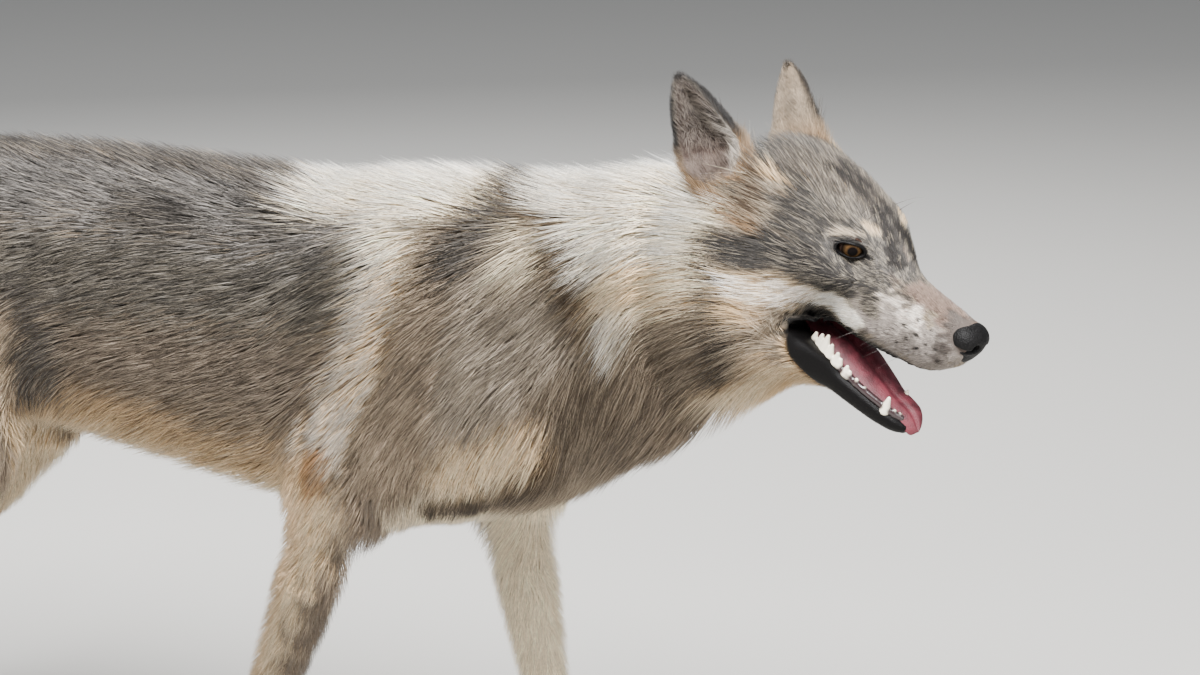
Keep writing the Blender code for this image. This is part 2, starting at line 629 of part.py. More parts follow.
def jaw_form():
    """The lower jaw, from under the cheeks to the chin."""
    return Loft(
        (
            (-0.060, -0.070, -0.135, 0.036),
            (-0.020, -0.088, -0.140, 0.037),
            (0.012, -0.097, -0.138, 0.0345),
            (0.040, -0.104, -0.136, 0.0300),
            (0.070, -0.109, -0.1355, 0.0245),
            (0.095, -0.113, -0.1340, 0.0190),
            (0.110, -0.116, -0.1310, 0.0135),
            (JAW_FRONT_X, -0.119, -0.1270, 0.0080),
        ),
        frame=HEAD,
        power=2.5,
        skew=0.12,
    )


def mouth_forms():
    """What is taken away for the open mouth: the space under the palate and between the lips."""
    palate = Loft(
        (
            (-0.020, -0.066, -0.094, 0.020),
            (0.010, -0.056, -0.100, 0.030),
            (0.050, -0.050, -0.100, 0.0245),
            (0.090, -0.049, -0.100, 0.0190),
            (0.112, -0.053, -0.096, 0.0110),
        ),
        frame=HEAD,
        power=2.6,
    )
    gape = Loft(
        (
            (-0.013, -0.086, -0.097, 0.050),
            (0.003, -0.080, -0.099, 0.055),
            (0.040, -0.074, -0.103, 0.060),
            (0.090, -0.068, -0.112, 0.060),
            (0.150, -0.060, -0.116, 0.060),
        ),
        frame=HEAD,
        power=3.0,
    )
    return [(gape, 0.006), (palate, 0.006)]


def eye_form(side, grow=0.0):
    x, y, z = EYE_AT
    return Ball((x, side * y, z), (EYE_RADIUS + grow,) * 3, HEAD)


def lid_forms(side):
    """The lids stand over the eyeball as a skin 2 mm thick, opened by a slanted almond."""
    x, y, z = EYE_AT
    lids = Ball((x, side * y, z), (EYE_RADIUS + 0.0022,) * 3, HEAD)
    middle = (x + 0.005, side * (y + 0.009), z)
    opening = Ball(middle, (0.0135, 0.010, 0.0056), HEAD, math.radians(-12))
    return lids, opening


def nose_volume():
    """The nose pad with its two nostrils, on a fine grid."""
    volume = window((0.100, -0.028, -0.045), (0.150, 0.028, 0.012), 0.0016, HEAD)
    volume.add(Ball((0.1245, 0, -0.0140), (0.0150, 0.0185, 0.0135), HEAD), 0.004)
    volume.add(Ball((0.1255, 0, -0.0260), (0.0100, 0.0125, 0.0120), HEAD), 0.008)
    for side in (-1, 1):
        wing = Ball((0.1230, side * 0.0110, -0.0160), (0.0120, 0.0085, 0.0100), HEAD)
        start, end = (0.146, side * 0.0075, -0.0160), (0.126, side * 0.0085, -0.0150)
        nostril = Limb(start, end, 0.0028, 0.0034, frame=HEAD)
        start, end = (0.136, side * 0.0120, -0.0190), (0.125, side * 0.0195, -0.0215)
        slit = Limb(start, end, 0.0014, 0.0014, frame=HEAD)
        volume.add(wing, 0.006)
        volume.carve(nostril, 0.002)
        volume.carve(slit, 0.0015)
    return volume


def tongue_volume():
    """The tongue: broad and grooved, out over the lower front teeth and hanging a little."""
    volume = window((-0.035, -0.035, -0.150), (0.140, 0.045, -0.070), 0.0022, HEAD)
    blade = Loft(
        (
            (-0.030, -0.086, -0.099, 0.016),
            (0.000, -0.085, -0.102, 0.0190),
            (0.040, -0.090, -0.1055, 0.0180),
            (0.070, -0.096, -0.1090, 0.0155),
            (0.090, -0.1005, -0.1115, 0.0120),
        ),
        frame=HEAD,
        power=2.6,
    )
    volume.add(blade, 0.004)
    tip = Loft(
        (
            (-0.034, 0.0040, -0.0040, 0.0125),
            (-0.010, 0.0035, -0.0045, 0.0150),
            (0.008, 0.0030, -0.0045, 0.0150),
            (0.020, 0.0020, -0.0040, 0.0110),
            (0.026, 0.0010, -0.0030, 0.0050),
        ),
        frame=TONGUE_END,
        power=2.2,
    )
    volume.add(tip, 0.008)
    groove = Limb((0.010, 0.000, -0.0810), (0.118, 0.005, -0.1010), 0.0028, 0.0036, frame=HEAD)
    volume.carve(groove, 0.004)
    return volume


def teeth_volume(with_teeth):
    """The lower gum, bent round the chin, with its teeth standing in it; without them it is
    wider, to cut its seat with."""
    volume = window((-0.006, -0.036, -0.128), (0.122, 0.036, -0.088), 0.0012, HEAD)
    arch = [(0.007 if with_teeth else 0.003, 0.0255, -0.1012), (0.035, 0.0238, -0.1055), (0.070, 0.0198, -0.1105)]
    arch += [(0.096, 0.0128, -0.1140), (0.1075, 0.0060, -0.1165), (0.1095, 0.0, -0.1172)]
    arch = [(x, -y, z) for x, y, z in arch[:-1]] + arch[::-1]
    thick = 0.0034 if with_teeth else 0.0051
    gum = Chain([HEAD.world(p) for p in arch], [thick] * len(arch), pieces=36)
    volume.add(gum, 0.002)
    for side in (-1, 1) if with_teeth else ():
        for x, out, base, tall, wide in LOWER_TEETH:
            root = (x, side * out, base)
            tip = (x + 0.15 * tall, side * (out + 0.12 * tall), base + tall)
            volume.add(Limb(root, tip, wide, 0.0007, frame=HEAD), 0.0016)
    return volume


def ear_frame(side):
    """The ear stands back and out from the crown: forward is base to tip, up is the open side."""
    base, tip = (HEAD.world(p) for p in (EAR_RIGHT if side < 0 else EAR_LEFT))
    frame = Frame(base)
    axis = (tip - base) / np.linalg.norm(tip - base)
    facing = HEAD.rows[0] * 0.30 + HEAD.rows[1] * side * 0.86 + HEAD.rows[2] * 0.10
    facing = facing - axis * (facing @ axis)
    facing /= np.linalg.norm(facing)
    frame.rows = np.array([axis, np.cross(facing, axis), facing])
    return frame


def ear_volume(side):
    """A pointed cup: an outer shell less an inner one that opens it outwards and forwards."""
    frame = ear_frame(side)
    centre = frame.world((0.045, 0, 0))
    volume = window(centre - 0.085, centre + 0.085, 0.0019, WORLD)
    outer = Loft(
        (
            (-0.030, 0.012, -0.020, 0.022),
            (0.000, 0.010, -0.024, 0.032),
            (0.030, 0.004, -0.022, 0.0335),
            (0.060, 0.000, -0.017, 0.0260),
            (0.085, -0.003, -0.012, 0.0150),
            (0.1015, -0.0055, -0.0085, 0.0030),
        ),
        frame=frame,
        power=2.0,
    )
    hollow = Loft(
        (
            (0.004, 0.032, -0.008, 0.013),
            (0.018, 0.034, -0.0165, 0.0255),
            (0.040, 0.032, -0.0155, 0.0265),
            (0.064, 0.028, -0.0110, 0.0200),
            (0.086, 0.022, -0.0065, 0.0105),
            (0.0995, 0.016, -0.0045, 0.0030),
        ),
        frame=frame,
        power=2.0,
    )
    volume.add(outer, 0.004)
    volume.carve(hollow, 0.003)
    return volume


def window(low, high, cell, frame=WORLD):
    """An evenly spaced volume round a box given in a frame."""
    ends = np.array([low, high])
    corners = np.array([
        frame.world((ends[a, 0], ends[b, 1], ends[c, 2])) for a in (0, 1) for b in (0, 1) for c in (0, 1)
    ])
    axes = [np.arange(corners[:, n].min(), corners[:, n].max() + cell, cell) for n in range(3)]
    return Volume(*axes)


def uneven(stretches):
    """Grid places from (start, end, cell) stretches that follow one another."""
    parts = [np.arange(a, b - cell / 2, cell) for a, b, cell in stretches]
    return np.concatenate(parts + [[stretches[-1][1]]])


def fill(volume, with_mouth):
    """Melts every form of the animal into a volume."""
    for form, melt in trunk_forms() + leg_forms() + tail_forms() + head_forms():
        volume.add(form, melt)
    volume.add(jaw_form(), 0.012)
    if with_mouth:
        for form, melt in mouth_forms():
            volume.carve(form, melt)
        for side in (-1, 1):
            lids, opening = lid_forms(side)
            volume.carve(Ball((0.012, side * 0.047, -0.001), (0.016, 0.010, 0.010), HEAD), 0.010)
            volume.add(lids, 0.004)
            volume.carve(opening, 0.002)
    volume.floor()


def mesh_object(name, points, faces, material=None):
    mesh = bpy.data.meshes.new(name)
    mesh.from_pydata(points.tolist(), [], faces.tolist())
    obj = bpy.data.objects.new(name, mesh)
    bpy.context.scene.collection.objects.link(obj)
    if material:
        mesh.materials.append(material)
    return obj


def apply_all(obj):
    """Makes the modifiers of an object part of its mesh."""
    graph = bpy.context.evaluated_depsgraph_get()
    old = obj.data
    obj.data = bpy.data.meshes.new_from_object(obj.evaluated_get(graph))
    obj.modifiers.clear()
    bpy.data.meshes.remove(old)


def thin_out(obj, triangles):
    """Brings a mesh down to about a number of triangles, keeping its shape."""
    count = sum(len(p.vertices) - 2 for p in obj.data.polygons)
    modifier = obj.modifiers.new("Thin", "DECIMATE")
    modifier.ratio = min(1.0, triangles / count)
    modifier.use_collapse_triangulate = True
    apply_all(obj)
    for vertex in obj.data.vertices:
        if vertex.co.z < 0.0007:
            vertex.co.z = 0.0


def combine(obj, other, operation, solver="MANIFOLD"):
    """Cuts other from an object, or joins it on."""
    modifier = obj.modifiers.new("Combine", "BOOLEAN")
    modifier.operation = operation
    modifier.solver = solver
    modifier.object = other
    apply_all(obj)


def grown(obj, by):
    """A copy of an object moved outwards all over, to cut a seat with."""
    copy = bpy.data.objects.new(obj.name + "_seat", obj.data.copy())
    bpy.context.scene.collection.objects.link(copy)
    normals = np.empty(len(copy.data.vertices) * 3, np.float32)
    copy.data.vertex_normals.foreach_get("vector", normals)
    places = np.empty_like(normals)
    copy.data.vertices.foreach_get("co", places)
    copy.data.vertices.foreach_set("co", places + by * normals)
    copy.data.update()
    return copy


def seat(bodies, piece, by=GAP):
    """Cuts a seat for a piece from the bodies that it sits in."""
    cutter = grown(piece, by)
    for body in bodies:
        combine(body, cutter, "DIFFERENCE")
    bpy.data.objects.remove(cutter)


def slab(start, end, low, high, frame=WORLD):
    """A cutting sheet: its edge runs from start to end in the x and z of a frame, and it
    spans from low to high in y."""
    a, b = np.array(start, float), np.array(end, float)
    along = (b - a) / np.linalg.norm(b - a)
    off = np.array([-along[1], along[0]]) * CUT / 2
    corners = [a - off, b - off, b + off, a + off]
    points = np.array([frame.world((c[0], y, c[1])) for y in (low, high) for c in corners])
    faces = [(0, 1, 2, 3), (7, 6, 5, 4), (0, 4, 5, 1), (1, 5, 6, 2), (2, 6, 7, 3), (3, 7, 4, 0)]
    obj = mesh_object("slab", points, np.array(faces))
    outward(obj)
    return obj


def outward(obj):
    """Turns every face of a closed mesh to face out."""
    work = bmesh.new()
    work.from_mesh(obj.data)
    bmesh.ops.recalc_face_normals(work, faces=work.faces)
    work.to_mesh(obj.data)
    work.free()


def triangles_of(obj):
    """Points and three-sided faces of an object, and the faces beside each face."""
    work = bmesh.new()
    work.from_mesh(obj.data)
    bmesh.ops.triangulate(work, faces=work.faces)
    work.verts.index_update()
    work.faces.index_update()
    points = np.array([v.co[:] for v in work.verts])
    faces = np.array([[v.index for v in f.verts] for f in work.faces])
    beside = [[] for _ in work.faces]
    for edge in work.edges:
        if len(edge.link_faces) == 2:
            one, two = (f.index for f in edge.link_faces)
            beside[one].append(two)
            beside[two].append(one)
    work.free()
    return points, faces, beside


def loose_parts(obj):
    """The separate closed surfaces of an object, as (points, faces) with the largest first."""
    points, faces, beside = triangles_of(obj)
    group = np.full(len(faces), -1)
    total = 0
    for first in range(len(faces)):
        if group[first] >= 0:
            continue
        group[first] = total
        stack = [first]
        while stack:
            for near in beside[stack.pop()]:
                if group[near] < 0:
                    group[near] = total
                    stack.append(near)
        total += 1
    parts = []
    for number in range(total):
        mine = faces[group == number]
        if len(mine) > 3:
            used, index = np.unique(mine, return_inverse=True)
            parts.append((points[used], index.reshape(-1, 3)))
    return sorted(parts, key=lambda part: -len(part[1]))


def pinches(obj):
    """Places where more than two faces meet at one edge, points within 1 um taken as one."""
    points, faces, _ = triangles_of(obj)
    whole = np.round(points * 1e6)
    _, first, index = np.unique(whole, axis=0, return_index=True, return_inverse=True)
    faces = index.reshape(-1)[faces]
    a, b, c = faces.T
    faces = faces[(a != b) & (b != c) & (a != c)]
    edges = np.sort(np.concatenate([faces[:, [0, 1]], faces[:, [1, 2]], faces[:, [2, 0]]]), 1)
    edges, count = np.unique(edges, axis=0, return_counts=True)
    return points[first[edges[count > 2].ravel()]]


def largest_only(obj):
    """Drops every piece of an object but its largest closed surface."""
    points, faces = loose_parts(obj)[0]
    material = obj.data.materials[0] if obj.data.materials else None
    old = obj.data
    obj.data = bpy.data.meshes.new(obj.name)
    obj.data.from_pydata(points.tolist(), [], faces.tolist())
    if material:
        obj.data.materials.append(material)
    bpy.data.meshes.remove(old)


def drop_slivers(obj):
    """Draws together points that are under SLIVER apart, where the surface stays closed."""
    old = obj.data
    work = bmesh.new()
    work.from_mesh(old)
    bmesh.ops.remove_doubles(work, verts=work.verts, dist=SLIVER)
    bmesh.ops.dissolve_degenerate(work, dist=SLIVER / 2, edges=work.edges)
    bmesh.ops.triangulate(work, faces=work.faces)
    closed = all(len(edge.link_faces) == 2 for edge in work.edges)
    obj.data = old.copy()
    work.to_mesh(obj.data)
    work.free()
    if not closed or len(pinches(obj)) or len(loose_parts(obj)) > 1:
        obj.data = old
        return
    bpy.data.meshes.remove(old)


def part_body(body, cuts, seeds):
    """Cuts a body with thin sheets and names each piece by the seed point nearest to it."""
    for sheet in cuts:
        combine(body, sheet, "DIFFERENCE")
        bpy.data.objects.remove(sheet)
    taken = {}
    for points, faces in loose_parts(body):
        middle = (points.min(0) + points.max(0)) / 2
        name = min(seeds, key=lambda n: np.linalg.norm(np.array(seeds[n]) - middle))
        if name not in taken:
            taken[name] = mesh_object(name, points, faces)
            drop_slivers(taken[name])
    bpy.data.objects.remove(body)
    return taken


def material(name, colour, roughness=0.9, coat=0.0):
    made = bpy.data.materials.new(name)
    made.use_nodes = True
    made.diffuse_color = (*colour, 1)
    shader = made.node_tree.nodes["Principled BSDF"]
    shader.inputs["Base Color"].default_value = (*colour, 1)
    shader.inputs["Roughness"].default_value = roughness
    shader.inputs["Coat Weight"].default_value = coat
    return made


def volume_object(name, volume, triangles, kind):
    volume.untangle()
    obj = mesh_object(name, *volume.surface(), kind)
    thin_out(obj, triangles)
    return obj


def spread(points, spacing, draw):
    """Picks points that keep at least their spacing apart, in a drawn order."""
    kept = []
    for index in draw.permutation(len(points)):
        if kept:
            gap = np.linalg.norm(points[kept] - points[index], axis=1)
            if (gap < np.minimum(spacing[kept], spacing[index])).any():
                continue
        kept.append(index)
    return np.array(kept)


def crossing(blades):
    """Which blades pass through a cut between nodes, or into an ear."""
    hit = np.zeros(len(blades), bool)
    for (low, high), at, normal in CUT_PLANES:
        inside = ((blades > low) & (blades < high)).all(2).any(1)
        off = (blades - at) @ normal
        hit |= inside & (off.min(1) < 0.0006) & (off.max(1) > -0.0006)
    for ends in (EAR_RIGHT, EAR_LEFT):
        base, tip = (HEAD.world(p) for p in ends)
        ear = Limb(base, tip, EAR_CLEAR, EAR_CLEAR * 0.5)
        hit |= (ear.distance(*np.moveaxis(blades, 2, 0)) < 0).any(1)
    return hit


def lay_blades(volume, at, length, width, rise, turn):
    """Blades that start sunk in the core, follow the lie of the hair and rise from the core."""
    rings = []
    here, travelled = at, 0.0
    for along, height, wide, thick in LOCK_RINGS:
        normal = volume.away(here)
        heading = coat_at(here)[1]
        heading = heading - (heading * normal).sum(1)[:, None] * normal
        heading /= np.maximum(np.linalg.norm(heading, axis=1), 1e-6)[:, None]
        heading = heading + turn[:, None] * np.cross(normal, heading)
        here = here + ((along - travelled) * length)[:, None] * heading
        here = volume.settle(here, height * rise if height > 0 else -LOCK_ROOT)
        travelled = along
        normal = volume.away(here)
        across = np.cross(normal, heading)
        across /= np.linalg.norm(across, axis=1)[:, None]
        if wide == 0:
            rings.append(here[:, None])
            continue
        half, deep = (wide * width / 2)[:, None], (thick * width)[:, None]
        rings.append(np.stack([here + half * across, here + deep * normal, here - half * across], 1))
    return np.concatenate(rings, 1)


def grow_locks(volume, spacing, draw):
    """Flat tapered locks over the long coat, each the points of one closed blade. A lock that
    would pass a cut or an ear is made shorter until it is clear, or left out."""
    surface, _ = volume.surface()
    share = coat_at(surface)[2]
    surface = surface[share > 0.35]
    depth, _, share, length = coat_at(surface)
    kept = spread(surface, spacing * (0.6 + 0.4 * length / 0.1) / np.sqrt(share), draw)
    at, rise, length = surface[kept], 0.5 * (depth * share)[kept], LOCK_REACH * length[kept]
    length = length * draw.uniform(0.85, 1.12, len(at))
    width = LOCK_WIDTH * draw.uniform(0.85, 1.15, len(at)) * (0.55 + 0.45 * length / 0.1)
    turn = draw.normal(0, 0.10, len(at))
    blades = lay_blades(volume, at, length, width, rise, turn)
    for _ in range(9):
        hit = crossing(blades)
        length = np.where(hit, length * 0.90, length)
        blades[hit] = lay_blades(volume, *(a[hit] for a in (at, length, width, rise, turn)))
    blades = blades[~crossing(blades)]
    blades[:, :, 2] = np.maximum(blades[:, :, 2], 0.002)
    return blades


def blade_faces(rings, sides):
    """Faces of a blade of rings, each with some points round it, that ends in one point."""
    faces = [(0, n, n + 1) for n in range(1, sides - 1)]
    for ring in range(rings - 1):
        for n in range(sides):
            a, b = sides * ring + n, sides * ring + (n + 1) % sides
            faces += [(a, a + sides, b + sides), (a, b + sides, b)]
    last, tip = sides * (rings - 1), sides * rings
    faces += [(last + n, tip, last + (n + 1) % sides) for n in range(sides)]
    return np.array(faces)


def unite(obj, blades):
    """Joins closed blades to an object with one union."""
    group = bpy.data.collections.new("joined")
    bpy.context.scene.collection.children.link(group)
    for points, faces in blades:
        mesh = bpy.data.meshes.new("blade")
        mesh.from_pydata(points.tolist(), [], faces.tolist())
        blade = bpy.data.objects.new("blade", mesh)
        group.objects.link(blade)
        outward(blade)
    modifier = obj.modifiers.new("Join", "BOOLEAN")
    modifier.operation = "UNION"
    modifier.solver = "MANIFOLD"
    modifier.operand_type = "COLLECTION"
    modifier.collection = group
    apply_all(obj)
    for blade in list(group.objects):
        bpy.data.objects.remove(blade)
    bpy.data.collections.remove(group)


def holds(points, place):
    """Whether a place is inside the box round some points."""
    return bool(((place > points.min(0) - 1e-4) & (place < points.max(0) + 1e-4)).all())


def join_all(obj, blades):
    """Joins closed blades to an object. Where two of them only graze, so that the surface is
    pinched there, one is drawn in a little and the union is made again."""
    plain = obj.data.copy()
    for _ in range(6):
        unite(obj, blades)
        bad = pinches(obj)
        if not len(bad):
            break
        obj.data = plain.copy()
        for place in bad:
            near = [n for n, (points, _) in enumerate(blades) if holds(points, place)]
            for n in near[:1]:
                points, faces = blades[n]
                root = points[:3].mean(0)
                blades[n] = (root + 0.97 * (points - root), faces)
    bpy.data.meshes.remove(plain)


def claw_blades():
    """A blunt curved claw for each toe."""
    blades = []
    feet = [(KNUCKLE_R, FOREFOOT), (KNUCKLE_L, FOREFOOT)]
    feet += [(KNUCKLE_HR, HINDFOOT), (KNUCKLE_HL, HINDFOOT)]
    for knuckle, (length, half_width, _) in feet:
        for root, tip in toe_places(knuckle, length, half_width):
            aim = np.array(tip) - np.array(root)
            aim[2] = 0
            aim /= np.linalg.norm(aim)
            across, up = np.array((-aim[1], aim[0], 0)), np.array((0, 0, 1.0))
            rings = []
            for forward, high, thick in CLAW_RINGS:
                middle = np.array(tip) + forward * aim + high * up
                for a, b in ((0.7, 0), (0, 1), (-0.7, 0), (0, -1)):
                    rings.append(middle + thick * a * across + thick * b * up)
            rings.append(np.array(tip) + 0.0275 * aim - 0.0115 * up)
            blades.append(np.array(rings))
    return blades


def body_object():
    """Neck, trunk, legs and tail as one closed surface."""
    volume = Volume(
        np.arange(-0.890, 0.300, 0.0065),
        np.arange(-0.160, 0.1605, 0.0055),
        uneven(((-0.006, 0.080, 0.0040), (0.080, 0.860, 0.0065))),
    )
    fill(volume, False)
    volume.lower()
    locks = grow_locks(volume, LOCK_SPACING, np.random.default_rng(SEED))
    volume.d = np.maximum(volume.d, volume.axes[0][:, None, None] - NECK_CUT_X - 0.015)
    body = volume_object("body", volume, 2900, None)
    lock_faces, claw_faces = blade_faces(2, 3), blade_faces(3, 4)
    blades = [(lock, lock_faces) for lock in locks if lock[:, 0].max() < NECK_CUT_X]
    join_all(body, blades + [(claw, claw_faces) for claw in claw_blades()])
    return body


def head_object():
    """The head and the end of the neck as one closed surface, on a finer grid."""
    volume = Volume(
        np.arange(0.246, 0.610, 0.0028),
        np.arange(-0.150, 0.130, 0.0028),
        np.arange(0.440, 0.830, 0.0028),
    )
    fill(volume, True)
    volume.lower()
    locks = grow_locks(volume, HEAD_LOCK_SPACING, np.random.default_rng(SEED + 1))
    volume.d = np.maximum(volume.d, NECK_CUT_X - 0.010 - volume.axes[0][:, None, None])
    head = volume_object("head_all", volume, 1850, None)
    lock_faces = blade_faces(2, 3)
    join_all(head, [(lock, lock_faces) for lock in locks if lock[:, 0].min() > NECK_CUT_X])
    return head


def eye_object(side, kind):
    x, y, z = EYE_AT
    centre = np.array((x, side * y, z))
    volume = window(centre - 0.018, centre + 0.018, 0.0016, HEAD)
    volume.add(eye_form(side), 0.001)
    return volume_object("eye_left" if side > 0 else "eye_right", volume, 120, kind)


def main():
    for stale in list(bpy.data.objects):
        bpy.data.objects.remove(stale)
    coat = material("grey coat", (0.33, 0.30, 0.26))
    pale = material("cream coat", (0.62, 0.54, 0.43))
    dark_skin = material("dark skin", (0.022, 0.020, 0.020), 0.45, 0.3)
    flesh = material("tongue flesh", (0.52, 0.17, 0.19), 0.35, 0.4)
    iris = material("eye", (0.30, 0.12, 0.03), 0.08, 1.0)
    enamel = material("tooth", (0.80, 0.74, 0.60), 0.25, 0.3)
    lip = material("dark lip", (0.05, 0.04, 0.04), 0.5, 0.2)

    nose = volume_object("nose", nose_volume(), 260, dark_skin)
    tongue = volume_object("tongue", tongue_volume(), 230, flesh)
    teeth = volume_object("lower_teeth", teeth_volume(True), 440, enamel)
    eyes = [eye_object(side, iris) for side in (-1, 1)]
    ears = [
        volume_object("ear_left" if side > 0 else "ear_right", ear_volume(side), 270, coat)
        for side in (-1, 1)
    ]

    skull = head_object()
    gum = volume_object("gum", teeth_volume(False), 190, None)
    for piece in [nose, tongue, gum] + eyes + ears:
        seat([skull], piece)
    bpy.data.objects.remove(gum)
    seat([teeth], tongue)
    largest_only(teeth)
    largest_only(skull)
    jaw_cut = slab((0.002, -0.086), (0.030, -0.190), -0.080, 0.080, HEAD)
    head_parts = part_body(
        skull,
        [jaw_cut, slab((NECK_CUT_X, 0.400), (NECK_CUT_X, 0.850), -0.2, 0.2)],
        {"head": HEAD.world((-0.05, 0, -0.05)), "jaw": HEAD.world((0.07, 0, -0.125))},
    )

    body = body_object()
    for ear in ears:
        seat([body], ear)
    cuts = [
        slab((NECK_CUT_X, 0.400), (NECK_CUT_X, 0.850), -0.2, 0.2),
        slab(*COLLAR_CUT, -0.2, 0.2),
        slab((RUMP_CUT_X, 0.350), (RUMP_CUT_X, 0.780), -0.2, 0.2),
        slab((TAIL_CUT_X, 0.500), (TAIL_CUT_X, 0.740), -0.2, 0.2),
        slab((-0.330, THIGH_CUT_Z), (-0.660, THIGH_CUT_Z), -0.2, 0.2),
        slab((-0.850, WRIST_CUT_Z), (0.250, WRIST_CUT_Z), -0.2, 0.2),
        slab((-0.200, ELBOW_CUT_Z), (0.200, ELBOW_CUT_Z), -0.2, 0.2),
    ]
    seeds = {
        "neck": (0.20, 0, 0.60),
        "torso": (-0.12, 0, 0.57),
        "rump": (-0.51, 0, 0.56),
        "tail": (-0.76, 0, 0.47),
        "foreleg_right": (-0.10, -0.09, 0.28),
        "foreleg_left": (0.05, 0.09, 0.28),
        "forepaw_right": (-0.15, -0.09, 0.07),
        "forepaw_left": (0.13, 0.09, 0.07),
        "hindleg_right": (-0.53, -0.09, 0.27),
        "hindleg_left": (-0.62, 0.09, 0.27),
        "hindpaw_right": (-0.55, -0.09, 0.07),
        "hindpaw_left": (-0.72, 0.09, 0.07),
    }
    body_parts = part_body(body, cuts, seeds)
    for name, obj in {**head_parts, **body_parts}.items():
        legs = "leg" in name or "paw" in name
        obj.data.materials.append(lip if name == "jaw" else pale if legs else coat)
    for obj in bpy.context.scene.objects:
        obj.location = ORIGIN_SHIFT


if __name__ == "__main__":
    main()
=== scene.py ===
"""Looks of a life-size still model of a grey wolf in a slow walk, head lowered and mouth open.

Metres, apart from the tables in millimetres that metres() turns into them. +X is the way the wolf
walks, +Y its left side, +Z up, and the floor is z = 0.
The flesh is worked out as one smooth volume: each bone and muscle group is a form with a signed
distance, and the forms are melted together. The surface at distance zero is the outside of the
coat, the skin lies inside it by the coat's depth, and the hairs rise from the skin to the coat's
outside along its lie. Forms are placed from a point on the floor under the withers, and
ORIGIN_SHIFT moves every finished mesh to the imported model's own origin.
"""
import logging
import math
import sys
from dataclasses import dataclass
from enum import Enum
from typing import Sequence
import bpy
import numpy as np
from mathutils import Matrix


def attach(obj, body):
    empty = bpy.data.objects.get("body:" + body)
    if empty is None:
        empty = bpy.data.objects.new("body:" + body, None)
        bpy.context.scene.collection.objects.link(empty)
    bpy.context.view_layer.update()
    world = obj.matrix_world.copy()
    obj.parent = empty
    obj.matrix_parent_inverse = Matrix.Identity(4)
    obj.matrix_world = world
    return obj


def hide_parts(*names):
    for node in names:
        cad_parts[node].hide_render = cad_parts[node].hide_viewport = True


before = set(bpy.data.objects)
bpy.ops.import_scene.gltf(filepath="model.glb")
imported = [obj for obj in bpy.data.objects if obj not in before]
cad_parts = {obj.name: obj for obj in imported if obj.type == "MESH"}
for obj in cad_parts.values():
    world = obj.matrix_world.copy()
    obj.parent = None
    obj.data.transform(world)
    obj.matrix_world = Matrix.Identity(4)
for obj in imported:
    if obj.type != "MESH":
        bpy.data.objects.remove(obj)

LOG = logging.getLogger("wolf")
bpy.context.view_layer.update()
ORIGIN_SHIFT = np.array((0.1452, -0.0032, 0.0))
SEED = 11
FAR = 1.0
CORNERS = [(a, b, c) for a in (0, 1) for b in (0, 1) for c in (0, 1)]

Triple = tuple[float, float, float]
Array = np.ndarray
Socket = bpy.types.NodeSocket


def unit(vectors: Array) -> Array:
    """Vectors of length one along the last axis."""
    return vectors / np.maximum(np.linalg.norm(vectors, axis=-1, keepdims=True), 1e-9)


def metres(sizes: Sequence | float) -> Array:
    """Sizes in metres, from sizes in millimetres."""
    return np.asarray(sizes, float) / 1000


def ramp(low: float, high: float, value: Array) -> Array:
    """Smooth step: 0 below low, 1 above high, 3t^2 - 2t^3 between them."""
    t = np.clip((value - low) / (high - low), 0, 1)
    return t * t * (3 - 2 * t)


def wobble(points: Array, size: float, seed: int) -> Array:
    """A smooth uneven value of about -1 to 1: the mean of seven sine waves in drawn directions.

    Args:
        points: places, one row each.
        size: the mean wavelength in metres.
        seed: which set of waves.

    Returns:
        One value for each place.
    """
    draw = np.random.default_rng(seed)
    ways = unit(draw.normal(size=(7, 3))) * (2 * math.pi / size) * draw.uniform(0.6, 1.6, (7, 1))
    return np.sin(points @ ways.T + draw.uniform(0, 6.28, 7)).sum(1) / 3.2


def linear(red: int, green: int, blue: int) -> Triple:
    """A colour given as on a screen, 0 to 255, as linear light."""
    shares = [c / 255 for c in (red, green, blue)]
    return tuple(s / 12.92 if s < 0.04045 else ((s + 0.055) / 1.055) ** 2.4 for s in shares)


def blend(one: Sequence, two: Sequence, share: Array) -> Array:
    """The first value where the share is 0, the second where it is 1."""
    return np.asarray(one) * (1 - share) + np.asarray(two) * share


def line_gap(places: Array, line: Sequence[Array]) -> Array:
    """Distance from each place to the nearest stretch of a line through some points."""
    away = np.full(len(places), np.inf)
    for start, end in zip(line, line[1:]):
        along = end - start
        h = np.clip((places - start) @ along / (along @ along), 0, 1)
        away = np.minimum(away, np.linalg.norm(places - start - h[:, None] * along, axis=1))
    return away


class Frame:
    """A place and three directions: forward, left and up."""

    def __init__(self, at: Sequence[float] = (0, 0, 0), pitch: float = 0.0, yaw: float = 0.0) -> None:
        """Turns the directions down by pitch and left by yaw."""
        cp, sp, cy, sy = math.cos(pitch), math.sin(pitch), math.cos(yaw), math.sin(yaw)
        self.at = np.array(at, float)
        forward, left = np.array([cp * cy, cp * sy, -sp]), np.array([-sy, cy, 0.0])
        self.rows = np.array([forward, left, np.cross(forward, left)])

    def local(self, x: Array, y: Array, z: Array) -> list[Array]:
        """Coordinates of world places in this frame."""
        dx, dy, dz = x - self.at[0], y - self.at[1], z - self.at[2]
        return [r[0] * dx + r[1] * dy + r[2] * dz for r in self.rows]

    def world(self, points: Sequence[float] | Array) -> Array:
        """World places of coordinates in this frame."""
        return self.at + np.asarray(points, float) @ self.rows

    def inside(self, points: Array) -> Array:
        """Coordinates in this frame of world places, one row each."""
        return (points - self.at) @ self.rows.T


WORLD = Frame()
# Head: the midline point level with the eyes, and how the head is carried
HEAD = Frame((0.448, 0.0, 0.693), math.radians(30), math.radians(-8))


